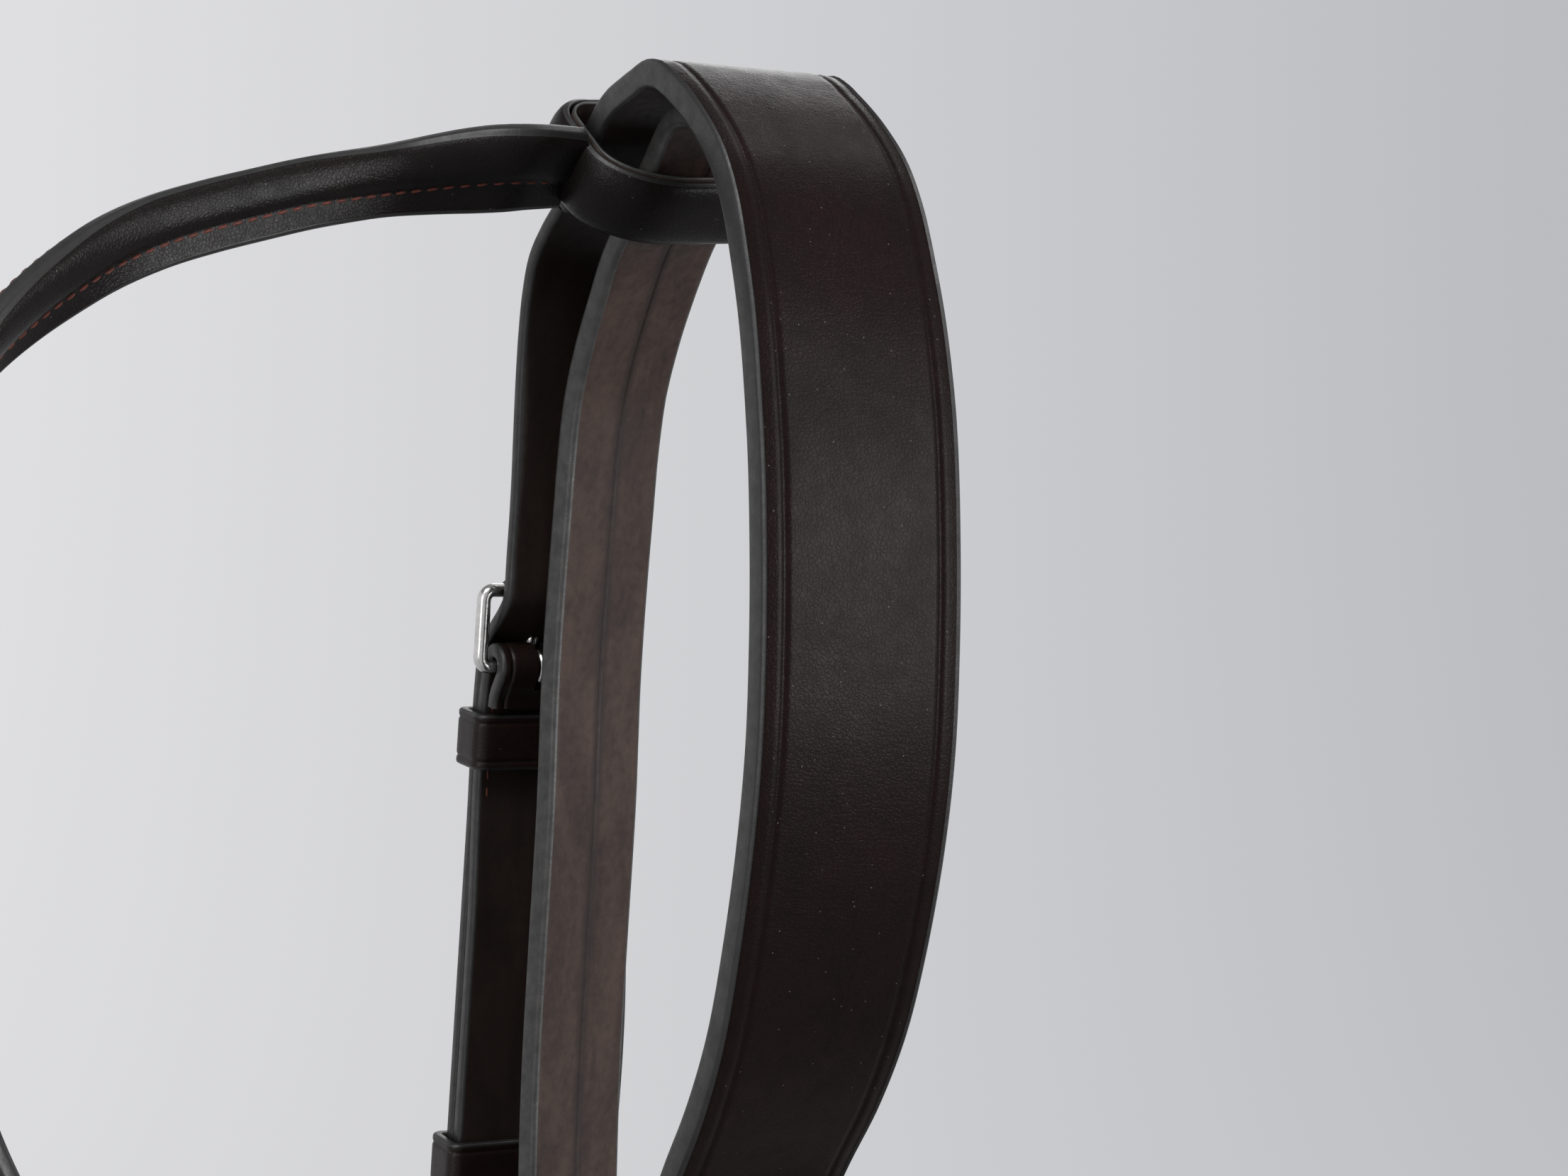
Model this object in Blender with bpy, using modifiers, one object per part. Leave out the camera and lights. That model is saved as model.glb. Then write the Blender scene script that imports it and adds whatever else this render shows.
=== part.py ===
"""Jumping bridle, hung from a hook under its crest. Metres, +Z up.

The origin is the point of the hook, under the headstrap's crest. -X is the horse's front, -Y its near side.
The bridle hangs off its middle: the off side ends high, the near side about 0.19 lower.
"""

import math
from collections import namedtuple

import bmesh
import bpy
import numpy as np
from mathutils import Matrix, Vector

# Clearances
FIT_GAP = 0.0003
LOOP_GAP = 0.0005
LOOP_OUT_GAP = 0.0034
NOSE_SEAT_GAP = 0.0014
CUT_OVERRUN = 0.002
MERGE_DISTANCE = 0.00001

# Headpiece, the wide strap over the poll
POLL_WIDTH = 0.040
POLL_THICKNESS = 0.0055
POLL_NEAR_BULGE = 0.040
POLL_NEAR_DROP = 0.200
POLL_OFF_SPREAD = 0.046
POLL_OFF_DROP = 0.0275
POLL_CREST_TWIST = math.radians(6)
POLL_LOW_TWIST = math.radians(16)
OFF_TWIST = math.radians(20)

# Noseband headstrap, which runs under the headpiece
HANGER_WIDTH = 0.025
HANGER_THICKNESS = 0.0045
HANGER_OFF_SPREAD = 0.070
HANGER_OFF_DROP = 0.240
HANGER_NEAR_DROP = 0.421
HANGER_NEAR_OUT = 0.024
HANGER_NEAR_INSET = 0.0065

# Browband and its loops
BROW_WIDTH = 0.0160
BROW_THICKNESS = 0.0062
BROW_EDGE = 0.0024
BROW_REACH = 0.152
BROW_DROP = 0.225
BROW_LEAD = 0.012
BROW_LEAD_SHARES = (0.45, 1.0)
BROW_INSET = 0.0012
BROW_END_SHARE = 1.06
BROW_NARROW_SHARE = 0.80
BROW_FULL = 0.010
BROW_TAPER = 0.030
LOOP_HEIGHT = 0.0145
LOOP_SIDE_GAP = 0.0016
LOOP_TILT = math.radians(3)
LOOP_LEVEL = math.radians(-15)
LOOP_OUTER_RADIUS = 0.0045
LOOP_INNER_RADIUS = 0.0090
LOOP_INNER_REACH = 0.0140
LOOP_THICKNESS = 0.0024
LOOP_DEPTH = 0.0224
LOOP_FROM_END = 0.0112

# Cheekpieces, with their billets
CHEEK_WIDTH = 0.019
CHEEK_THICKNESS = 0.0030
CHEEK_BILLET_THICKNESS = 0.0028
CHEEK_FORWARD = 0.0080
CHEEK_LENGTH = 0.215
CHEEK_BILLET_TAIL = 0.112
BIT_LOOP_RADIUS = 0.0070
BIT_RETURN = 0.055
STUD_HEIGHT = 0.042
OFF_BAR_OUT = 0.0685
OFF_BAR_DROP = 0.0993
OFF_LEAN = 0.145
NEAR_BAR_OUT = 0.0060
NEAR_BAR_DROP = 0.2950
NEAR_LEAN = 0.0

# Roller buckles of the cheekpieces and of the chin strap
ROLLER_BUCKLE_REACH = 0.0150
BUCKLE_BAR_RADIUS = 0.0014
ROLLER_RADIUS = 0.0022
ROLLER_BORE_RADIUS = 0.0017
BUCKLE_SIDE_ROOM = 0.0012
TONGUE_RADIUS = 0.0011
TONGUE_OVERHANG = 0.0015
TONGUE_LIFT = 0.12

# Narrow buckles of the throatlatch
NARROW_WIDTH = 0.0110
NARROW_THICKNESS = 0.0020
NARROW_BUCKLE_REACH = 0.0125
NARROW_BAR_RADIUS = 0.0012
NARROW_TONGUE_RADIUS = 0.0009

# Keepers and runners, placed by the distance of their middles below the bar
KEEPER_HEIGHT = 0.0110
KEEPER_THICKNESS = 0.0020
KEEPER_BELOW_BAR = 0.0150
RUNNER_BELOW_BAR = 0.1010
NARROW_KEEPER_HEIGHT = 0.0080
NARROW_RUNNER_BELOW = 0.0340
TURN_BACK = 0.0080

# Throatlatch
THROAT_REAR = 0.0135
OFF_THROAT_OUT = 0.0985
OFF_THROAT_DROP = 0.235
OFF_THROAT_LEAN = 0.22
NEAR_THROAT_OUT = 0.0020
NEAR_THROAT_DROP = 0.360
THROAT_TAIL = 0.050
THROAT_STRAIGHT = 0.056
THROAT_BOTTOM_DROP = 0.520
THROAT_SWING = 0.050

# Noseband and chin strap
NOSE_WIDTH = 0.032
NOSE_THICKNESS = 0.0050
NOSE_CROWN = 0.0030
NOSE_REACH = 0.080
NOSE_ABOVE_END = 0.014
CHIN_TAB = 0.062
CHIN_LAP = 0.009
CHIN_LEAD = 0.014
CHIN_REAR = 0.128
CHIN_TAIL = 0.046
CHIN_RUNNER_BELOW = 0.034

# Holes, studs and edges
HOLE_RADIUS = 0.0018
HOLE_PITCH = 0.020
HOLE_FIRST = 0.032
NARROW_HOLE_PITCH = 0.009
NARROW_HOLE_FIRST = 0.0245
EDGE_ROUND = 0.0010
THIN_EDGE_ROUND = 0.0005
STUD_NECK_RADIUS = 0.0016
STUD_HEAD_RADIUS = 0.0034
STUD_HEAD_HEIGHT = 0.0016
STUD_PLATE = 0.0008

# Counts
HOLE_COUNT = 3
NARROW_HOLE_COUNT = 1
POLL_STATIONS = 64
HANGER_STATIONS = 64
BROW_STATIONS = 40
BROW_TURN = 5
MIDDLE_SHARE = 0.5
BROW_HELD = 0.2
NOSE_HELD = 0.22
CHIN_HELD = 0.25
CHEEK_BILLET_STATIONS = 12
THROAT_BILLET_STATIONS = 14
THROAT_STATIONS = 40
NOSE_STATIONS = 30
CHIN_STATIONS = 26
CORNER_STEPS = 2
LOOP_CORNER_STEPS = 5
PLAIN_CORNER_STEPS = 1
ROUND_STEPS = 20
TURN_STEPS = 16
BUCKLE_CORNER_STEPS = 4
WIRE_RESOLUTION = 1
FRAME_RESOLUTION = 2
ROUTE_FINENESS = 40
CROWN_STEPS = 6
HOLE_SIDES = 12
FOLD_STEPS = 8
EYE_STEPS = 12
SLANT_STEPS = 3
OVER_STEPS = 4
SHARP_ANGLE = math.radians(40)
EYE_START = math.radians(-250)

UP = Vector((0, 0, 1))
LEFT = Vector((0, 1, 0))
HANGER_CENTRE_Z = HANGER_THICKNESS / 2
POLL_CENTRE_Z = HANGER_THICKNESS + FIT_GAP + POLL_THICKNESS / 2

# Shares of the named spreads and drops that the straps' routes follow, chosen by hand
POLL_NEAR_SHARES = (
    (0.27, 0.028), (0.50, 0.065), (0.61, 0.089), (0.72, 0.127), (0.80, 0.170), (0.89, 0.232),
    (0.965, 0.324), (0.99, 0.417), (0.985, 0.507), (0.95, 0.599), (0.86, 0.690), (0.71, 0.787),
    (0.575, 0.852), (0.375, 0.917), (0.10, 0.987), (-0.06, 1.040), (-0.13, 1.110),
)
POLL_OFF_SHARES = ((0.19, 0.04), (0.39, 0.13), (0.52, 0.27), (0.68, 0.43), (0.82, 0.63))
POLL_TWIST_SETTLE_SHARE = 0.3
POLL_TWIST_LOW_SHARE = 0.6
POLL_TWIST_FADE_SHARE = 0.5
HANGER_OFF_SHARES = (
    (0.06, 0.004), (0.17, 0.019), (0.25, 0.044), (0.34, 0.066), (0.45, 0.090), (0.56, 0.130), (0.71, 0.203),
    (0.80, 0.320), (0.86, 0.433), (0.89, 0.536), (0.945, 0.657), (0.985, 0.753), (1.01, 0.865), (1.02, 1.0),
)
HANGER_TAIL_SHARES = (0.0, 0.25, 0.5, 0.75)
BROW_SHARES = (
    (0.33, 0.61, 0.042), (0.53, 0.58, 0.070), (0.757, 0.44, 0.125),
    (0.954, 0.17, 0.2445), (1.0, -0.09, 0.443), (1.0, -0.17, 0.665),
    (0.888, -0.22, 0.865), (0.658, -0.17, 0.960), (0.395, -0.07, 0.960),
)
BILLET_BEND_SHARE = 0.20
BILLET_TAIL_SHARES = (0.3, 0.6, 0.86, 0.90, 0.94, 0.97, 0.99, 1.0)
TIP_LENGTH_SHARE = 0.7
TIP_NARROW_SHARE = 0.3
TURN_BACK_SHARES = ((0.0, 1.0), (0.08, 0.72), (0.5, 0.42), (0.92, 0.14))
CHEEK_SHARES = (0.25, 0.5, 0.75)
BIT_RETURN_SHARES = ((0.04, 0.06), (0.35, 0.20), (0.78, 0.36), (0.98, 0.47), (1.0, 0.56), (1.0, 1.0))
STUD_HEAD_SHARES = ((0.0, 0.0), (0.55, 0.06), (0.88, 0.30), (1.0, 0.65), (0.85, 1.0))
THROAT_SHARES = (
    (0.35, 0.02, 0.64), (0.75, 0.10, 0.82), (1.0, 0.30, 0.965),
    (1.0, 0.56, 1.0), (0.72, 0.82, 0.965), (0.35, 0.96, 0.89),
)
THROAT_LEAD_SHARE = 0.5
RUN_SHARES = (0.5, 1.0)
NOSE_SHARES = (
    (-0.30, -0.13, 0.0), (0.0, 0.0, 0.015), (0.40, 0.18, 0.09), (0.78, 0.33, 0.24), (0.98, 0.49, 0.42),
    (0.98, 0.62, 0.60), (0.78, 0.82, 0.78), (0.40, 0.96, 0.92), (0.0, 1.0, 0.985), (-0.30, 1.0, 1.0),
)
CHIN_SHARES = ((0.82, 0.02, 0.14), (0.98, 0.30, 0.38), (1.0, 0.64, 0.68), (0.95, 0.90, 0.92))
ROLLER_SHARE = 0.72

leather_parts = bpy.data.collections.new("jumping_bridle")
cutters = bpy.data.collections.new("cutters")


def clear_scene():
    for old in list(bpy.data.objects):
        bpy.data.objects.remove(old, do_unlink=True)
    bpy.context.scene.collection.children.link(leather_parts)
    bpy.context.scene.collection.children.link(cutters)


def make_material(name, colour, roughness, metallic):
    material = bpy.data.materials.new(name)
    material.use_nodes = True
    shader = material.node_tree.nodes["Principled BSDF"]
    shader.inputs["Base Color"].default_value = (*colour, 1)
    shader.inputs["Roughness"].default_value = roughness
    shader.inputs["Metallic"].default_value = metallic
    return material


LEATHER = ((0.030, 0.018, 0.015), 0.45, 0.0)
LINING = ((0.085, 0.058, 0.048), 0.55, 0.0)
STEEL = ((0.62, 0.61, 0.60), 0.22, 1.0)


def finish(thing, look, collection=leather_parts):
    """Link a new object, and give it a material of its own."""
    collection.objects.link(thing)
    thing.data.materials.append(make_material(thing.name, *look))
    return thing


def smooth_mesh(mesh):
    mesh.shade_smooth()
    mesh.set_sharp_from_angle(angle=SHARP_ANGLE)


# Routes


def smooth_route(points, count):
    """Points at even distances along a smooth curve through the given ones."""
    nodes = np.array([tuple(p) for p in points])
    chords = np.sqrt(np.linalg.norm(np.diff(nodes, axis=0), axis=1))
    knots = np.concatenate([[0], np.cumsum(chords)])
    slopes = np.gradient(nodes, knots, axis=0)
    fine = np.linspace(0, knots[-1], ROUTE_FINENESS * len(nodes))
    places = []
    for value in fine:
        i = min(int(np.searchsorted(knots, value, side="right")) - 1, len(nodes) - 2)
        span = knots[i + 1] - knots[i]
        t = (value - knots[i]) / span
        places.append(
            (2 * t**3 - 3 * t**2 + 1) * nodes[i]
            + (t**3 - 2 * t**2 + t) * span * slopes[i]
            + (3 * t**2 - 2 * t**3) * nodes[i + 1]
            + (t**3 - t**2) * span * slopes[i + 1]
        )
    places = np.array(places)
    lengths = np.concatenate([[0], np.cumsum(np.linalg.norm(np.diff(places, axis=0), axis=1))])
    even = np.linspace(0, lengths[-1], count)
    return [Vector([np.interp(s, lengths, places[:, axis]) for axis in range(3)]) for s in even]


def tangents(points):
    """The direction of travel at each point of a route."""
    ahead = points[1:] + [points[-1] * 2 - points[-2]]
    behind = [points[0] * 2 - points[1]] + points[:-1]
    return [(a - b).normalized() for a, b in zip(ahead, behind)]


def stations(points, sides):
    """Frames along a route: centre, across (the strap's width) and out (its grain side)."""
    frames = []
    for point, tangent, side in zip(points, tangents(points), sides):
        across = (side - tangent * side.dot(tangent)).normalized()
        frames.append((point, across, across.cross(tangent)))
    return frames


def twist_vector(angle):
    return Vector((math.cos(angle), math.sin(angle), 0))


def turning_sides(count, end, middle, held):
    """Width directions of a band that runs out, turns and comes back: end at both ends, middle half way."""
    sides = []
    for i in range(count):
        from_end = min(i, count - 1 - i) / (count - 1)
        turn = max(0, (from_end - held) / (MIDDLE_SHARE - held)) * math.pi / 2
        sides.append(end * math.cos(turn) + middle * math.sin(turn))
    return sides


# Sections, as points of (across, out)


def flat_section(width, thickness, edge=EDGE_ROUND, steps=CORNER_STEPS):
    """A flat strap with rounded edges."""
    points = []
    corners = ((1, 1, 0), (-1, 1, 90), (-1, -1, 180), (1, -1, 270))
    for sx, sy, start in corners:
        for step in range(steps + 1):
            angle = math.radians(start + 90 * step / steps)
            points.append((
                sx * (width / 2 - edge) + edge * math.cos(angle),
                sy * (thickness / 2 - edge) + edge * math.sin(angle),
            ))
    return points


def crowned_section(width, thickness, crown):
    """A flat back, and a raised, rounded grain side."""
    points = []
    for step in range(CROWN_STEPS + 1):
        angle = math.pi * step / CROWN_STEPS
        points.append((width / 2 * math.cos(angle), thickness / 2 + crown * math.sin(angle)))
    points += [(-width / 2, -thickness / 2 + EDGE_ROUND), (-width / 2 + EDGE_ROUND, -thickness / 2)]
    points += [(width / 2 - EDGE_ROUND, -thickness / 2), (width / 2, -thickness / 2 + EDGE_ROUND)]
    return points


def sweep(name, frames, section, look, widths=None):
    """A solid drawn along the frames by extruding the section's face from each to the next."""
    widths = widths or [1] * len(frames)

    def ring(frame, share):
        centre, across, out = frame
        return [centre + across * (a * share) + out * o for a, o in section]

    bm = bmesh.new()
    face = bm.faces.new([bm.verts.new(co) for co in ring(frames[0], widths[0])])
    for frame, share in zip(frames[1:], widths[1:]):
        moved = bmesh.ops.extrude_face_region(bm, geom=[face, *face.edges])["geom"]
        face = next(item for item in moved if isinstance(item, bmesh.types.BMFace))
        for vert, co in zip(face.verts, ring(frame, share)):
            vert.co = co
    bmesh.ops.recalc_face_normals(bm, faces=bm.faces)
    mesh = bpy.data.meshes.new(name)
    bm.to_mesh(mesh)
    bm.free()
    smooth_mesh(mesh)
    return finish(bpy.data.objects.new(name, mesh), look)


def tip_widths(points, length, narrow):
    """Full width, narrowing along the last length to a blunt point."""
    left = [0.0]
    for a, b in zip(reversed(points[:-1]), reversed(points[1:])):
        left.append(left[-1] + (a - b).length)
    shares = []
    for distance in reversed(left):
        t = min(distance / length, 1)
        shares.append(narrow + (1 - narrow) * math.sqrt(1 - (1 - t) ** 2))
    return shares


# Flat rings, wires and cutters


def rounded_outline(width, height, radius, steps=CORNER_STEPS):
    return flat_section(width, height, radius, steps)


def circle_outline(radius, steps=ROUND_STEPS):
    turn = 2 * math.pi / steps
    return [(radius * math.cos(turn * i), radius * math.sin(turn * i)) for i in range(steps)]


def plate_curve(name, outlines, thickness, place, look, edge=0.0):
    """A flat outline, or a ring of two, thickened along its own Z and put in its place."""
    curve = bpy.data.curves.new(name, "CURVE")
    curve.dimensions = "2D"
    curve.fill_mode = "BOTH"
    curve.extrude = thickness / 2 - edge
    curve.bevel_depth = edge
    curve.bevel_resolution = 0
    for outline in outlines:
        spline = curve.splines.new("POLY")
        spline.points.add(len(outline) - 1)
        for point, (x, y) in zip(spline.points, outline):
            point.co = (x, y, 0, 1)
        spline.use_cyclic_u = True
    thing = finish(bpy.data.objects.new(name, curve), look)
    thing.matrix_world = place
    return thing


def wire(name, points, radius, look, place=None, closed=False, resolution=WIRE_RESOLUTION):
    """A round wire through the points."""
    curve = bpy.data.curves.new(name, "CURVE")
    curve.dimensions = "3D"
    curve.bevel_depth = radius
    curve.bevel_resolution = resolution
    curve.use_fill_caps = True
    spline = curve.splines.new("POLY")
    spline.points.add(len(points) - 1)
    for point, co in zip(spline.points, points):
        point.co = (*co, 1)
    spline.use_cyclic_u = closed
    thing = finish(bpy.data.objects.new(name, curve), look)
    thing.matrix_world = place or Matrix()
    return thing


def cut(thing, name, place, size, round_hole=True):
    """Cut a hole: a cylinder along the place's Z, of the given full sizes, or a box."""
    bm = bmesh.new()
    if round_hole:
        bmesh.ops.create_cone(bm, cap_ends=True, segments=HOLE_SIDES, radius1=0.5, radius2=0.5, depth=1)
    else:
        bmesh.ops.create_cube(bm, size=1)
    bmesh.ops.scale(bm, vec=size, verts=bm.verts)
    mesh = bpy.data.meshes.new(name)
    bm.to_mesh(mesh)
    bm.free()
    cutter = bpy.data.objects.new(name, mesh)
    cutters.objects.link(cutter)
    cutter.matrix_world = place
    cutter.hide_render = True
    cutter.display_type = "WIRE"
    modifier = thing.modifiers.new(name, "BOOLEAN")
    modifier.object = cutter
    modifier.operation = "DIFFERENCE"


def frame_matrix(centre, across, out):
    """A local frame with X across, Y out and Z up the strap."""
    up = across.cross(out)
    matrix = Matrix((across, out, up)).transposed().to_4x4()
    matrix.translation = centre
    return matrix


def strap_frame(centre, up, out_hint):
    """The frame of a straight strap end: up runs towards the billet, out is the grain side."""
    up = up.normalized()
    out = (out_hint - up * out_hint.dot(up)).normalized()
    return frame_matrix(centre, out.cross(up), out)


# Buckled joints. Each is built in the frame of its bar: X across the strap, Y out, Z up towards the billet.


Buckle = namedtuple("Buckle", "width anchor billet bar top reach tongue keeper edge")
CHEEK_BUCKLE = Buckle(
    CHEEK_WIDTH, CHEEK_THICKNESS, CHEEK_BILLET_THICKNESS, BUCKLE_BAR_RADIUS, ROLLER_RADIUS,
    ROLLER_BUCKLE_REACH, TONGUE_RADIUS, KEEPER_HEIGHT, EDGE_ROUND,
)
NARROW_BUCKLE = Buckle(
    NARROW_WIDTH, NARROW_THICKNESS, NARROW_THICKNESS, NARROW_BAR_RADIUS, NARROW_BAR_RADIUS,
    NARROW_BUCKLE_REACH, NARROW_TONGUE_RADIUS, NARROW_KEEPER_HEIGHT, THIN_EDGE_ROUND,
)


def fold_offset(b):
    """How far the anchor strap's middle lies from the bar's axis."""
    return b.bar + FIT_GAP + b.anchor / 2


def behind_offset(b):
    """How far the billet's middle lies behind the roller's axis."""
    return b.top + FIT_GAP + b.billet / 2


def over_offset(b):
    """How far the billet's middle lies in front of the bar, over the fold."""
    return fold_offset(b) + b.anchor / 2 + FIT_GAP + b.billet / 2


def arc(centre, radius, start, end, steps):
    """Points of (out, up) along an arc, both ends included."""
    turn = (end - start) / steps
    return [
        (centre[0] + radius * math.cos(start + turn * i), centre[1] + radius * math.sin(start + turn * i))
        for i in range(steps + 1)
    ]


def billet_slant(b):
    """The billet's angle from the strap's line where it crosses the frame."""
    return math.asin((behind_offset(b) + over_offset(b)) / b.reach)


def billet_path(b, tail):
    """Down behind the roller, slanting through the frame, and over the fold."""
    behind = behind_offset(b)
    over = over_offset(b)
    slant = billet_slant(b)
    path = arc((0, b.reach), behind, math.pi, math.pi + slant, SLANT_STEPS)
    path += arc((0, 0), over, slant, 0, OVER_STEPS)
    path += [(over, -tail * share) for share in BILLET_TAIL_SHARES]
    return path


def anchor_path(b):
    """Up from the turned-back end, and round the bar to the main layer."""
    fold = fold_offset(b)
    inner = fold - b.anchor - FIT_GAP
    path = [(inner + (-fold - inner) * across, -TURN_BACK * down) for across, down in TURN_BACK_SHARES]
    return path + arc((0, 0), fold, math.pi, 0, FOLD_STEPS)


def placed(place, path):
    """Points of (out, up) in a joint's frame, as points of the world."""
    return [place @ Vector((0, out, up)) for out, up in path]


def strap(name, points, side, section, look=LEATHER, tip=None):
    """A strap along points, its width along side, which is one vector or one for each point."""
    sides = [side] * len(points) if isinstance(side, Vector) else side
    widths = tip_widths(points, tip, TIP_NARROW_SHARE) if tip else None
    return sweep(name, stations(points, sides), section, look, widths)


def ring(name, place, inner, back, front, height, below, thickness, look=LEATHER):
    """A leather ring round layers that lie from back to front, its middle this far below the bar."""
    depth = front - back
    outlines = [
        rounded_outline(inner + 2 * thickness, depth + 2 * thickness, thickness),
        rounded_outline(inner, depth, THIN_EDGE_ROUND),
    ]
    spot = place @ Matrix.Translation((0, (front + back) / 2, -below))
    return plate_curve(name, outlines, height, spot, look)


def buckle_frame(name, b, place):
    """The wire frame: its bar at the joint's axis, its roller end above."""
    half = b.width / 2 + BUCKLE_SIDE_ROOM + b.bar
    outline = rounded_outline(2 * half, b.reach, 2 * b.bar, BUCKLE_CORNER_STEPS)
    points = [(x, 0, b.reach / 2 + y) for x, y in outline]
    return wire(name, points, b.bar, STEEL, place, closed=True, resolution=FRAME_RESOLUTION)


def roller(name, b, place):
    """The tube that turns on the frame's upper bar."""
    outlines = [circle_outline(b.top), circle_outline(ROLLER_BORE_RADIUS)]
    spot = place @ Matrix.Translation((0, 0, b.reach)) @ Matrix.Rotation(math.pi / 2, 4, "Y")
    return plate_curve(name, outlines, (b.width + 2 * BUCKLE_SIDE_ROOM) * ROLLER_SHARE, spot, STEEL)


def tongue(name, b, place):
    """A wire tongue: an eye round the bar, and a straight run to rest on the roller."""
    eye = b.bar + FIT_GAP + b.tongue
    rest = b.top + FIT_GAP + b.tongue
    path = arc((0, 0), eye, EYE_START, 0, EYE_STEPS) + [(rest, b.reach), (rest, b.reach + TONGUE_OVERHANG)]
    return wire(name, [(0, out, up) for out, up in path], b.tongue, STEEL, place)


def tongue_slot(anchor, name, b, place):
    """The slot in the fold that lets the tongue stand on the bar."""
    eye = b.bar + FIT_GAP + 2 * b.tongue
    low = -eye - LOOP_GAP
    high = fold_offset(b) + b.anchor
    spot = place @ Matrix.Translation((0, 0, (low + high) / 2))
    cut(anchor, name, spot, (2 * (b.tongue + LOOP_GAP), 4 * high, high - low), round_hole=False)


def tongue_hole(billet, name, b, place):
    """The hole that the tongue passes through, drawn long by its slant, with room for the lift."""
    eye = b.bar + FIT_GAP + b.tongue
    rest = b.top + FIT_GAP + b.tongue
    slant = billet_slant(b)
    high = b.reach - behind_offset(b) * math.sin(slant)
    crossing = high - (rest + behind_offset(b) * math.cos(slant)) / math.tan(slant)
    lift = b.reach * math.sin(TONGUE_LIFT)
    wide = 2 * (b.tongue + LOOP_GAP)
    length = b.billet / math.sin(slant) + wide / math.tan(slant) + CUT_OVERRUN
    spot = place @ Matrix.Translation((0, (rest + eye + lift) / 2, crossing))
    cut(billet, name, spot, (wide, wide + lift, length))


def strap_holes(thing, name, b, place, out, ups):
    """Punched holes, square to the strap."""
    for number, up in enumerate(ups):
        spot = place @ Matrix.Translation((0, out, up)) @ Matrix.Rotation(math.pi / 2, 4, "X")
        cut(thing, f"{name}_{number}", spot, (2 * HOLE_RADIUS, 2 * HOLE_RADIUS, b.anchor + 2 * CUT_OVERRUN))


def buckle_set(label, b, place, has_roller):
    """The metal of one buckle."""
    buckle_frame(f"{label}_buckle_frame", b, place)
    if has_roller:
        roller(f"{label}_buckle_roller", b, place)
    tongue(f"{label}_buckle_tongue", b, place)


def keepers(label, b, place, runner_below):
    """The fixed keeper under the buckle, and the runner that slides further down."""
    back = fold_offset(b) - b.anchor / 2 - LOOP_GAP
    front = over_offset(b) + b.billet / 2 + LOOP_GAP
    inner = b.width + 2 * LOOP_GAP
    ring(f"{label}_keeper", place, inner, back, front, b.keeper, KEEPER_BELOW_BAR, KEEPER_THICKNESS)
    ring(f"{label}_runner", place, inner, back, front, b.keeper, runner_below, KEEPER_THICKNESS)


def run_to_buckle(start, heading, place, b, count):
    """A route from a strap's start to the point above the roller where its joint's frame takes over."""
    top = place @ Vector((0, -behind_offset(b), b.reach))
    up = (place.to_3x3() @ UP).normalized()
    span = (top - start).length
    bend = span * BILLET_BEND_SHARE
    return smooth_route([start, start + heading * bend, top + up * bend, top], count)[:-1]


# Headpiece and headstrap


def poll_route():
    """Centre line of the headpiece, from its near end over the crest to its off end."""
    near = [(0, -POLL_NEAR_BULGE * y, POLL_CENTRE_Z - POLL_NEAR_DROP * z) for y, z in POLL_NEAR_SHARES]
    off = [(0, POLL_OFF_SPREAD * y, POLL_CENTRE_Z - POLL_OFF_DROP * z) for y, z in POLL_OFF_SHARES]
    return smooth_route(near[::-1] + [(0, 0, POLL_CENTRE_Z)] + off, POLL_STATIONS)


def strap_sides(points):
    """The width's direction along a strap over the poll: turned a little at the crest, more at the low
    near end and at the off end, and back to X far below the near end."""
    crest = max(range(len(points)), key=lambda i: points[i].z)
    end = POLL_NEAR_SHARES[-1][1]
    sides = []
    for number, point in enumerate(points):
        drop = POLL_CENTRE_Z - point.z
        if number > crest:
            twist = POLL_CREST_TWIST + (OFF_TWIST - POLL_CREST_TWIST) * min(drop / POLL_OFF_DROP, 1)
        else:
            share = drop / POLL_NEAR_DROP
            settle = max(0, 1 - share / POLL_TWIST_SETTLE_SHARE)
            low = max(0, (min(share, end) - POLL_TWIST_LOW_SHARE) / (end - POLL_TWIST_LOW_SHARE))
            fade = max(0, 1 - max(0, share - end) / POLL_TWIST_FADE_SHARE)
            twist = POLL_CREST_TWIST * settle + POLL_LOW_TWIST * low**2 * fade
        sides.append(twist_vector(twist))
    return sides


def poll_frames():
    points = poll_route()
    return stations(points, strap_sides(points))


def headpiece():
    sweep("headpiece", poll_frames(), flat_section(POLL_WIDTH, POLL_THICKNESS), LEATHER)


def hanger_route():
    """Centre line of the headstrap: close under the headpiece on the near side, inside it on the off side."""
    frames = poll_frames()
    crest = max(range(len(frames)), key=lambda i: frames[i][0].z)
    close = (POLL_THICKNESS + HANGER_THICKNESS) / 2 + FIT_GAP
    beneath = []
    for centre, _, out in frames[1:crest]:
        share = min((POLL_CENTRE_Z - centre.z) / POLL_NEAR_DROP, 1)
        depth = close + (HANGER_NEAR_INSET - close) * math.sqrt(share)
        beneath.append(centre - out * depth)
    low = HANGER_CENTRE_Z - HANGER_NEAR_DROP
    span = beneath[0].z - low
    tail = [(0, HANGER_NEAR_OUT, low + span * share) for share in HANGER_TAIL_SHARES]
    off = [(0, HANGER_OFF_SPREAD * y, HANGER_CENTRE_Z - HANGER_OFF_DROP * z) for y, z in HANGER_OFF_SHARES]
    return smooth_route(tail + beneath[::2] + [(0, 0, HANGER_CENTRE_Z)] + off, HANGER_STATIONS)


def hanger_frames():
    points = hanger_route()
    return stations(points, strap_sides(points))


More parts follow.
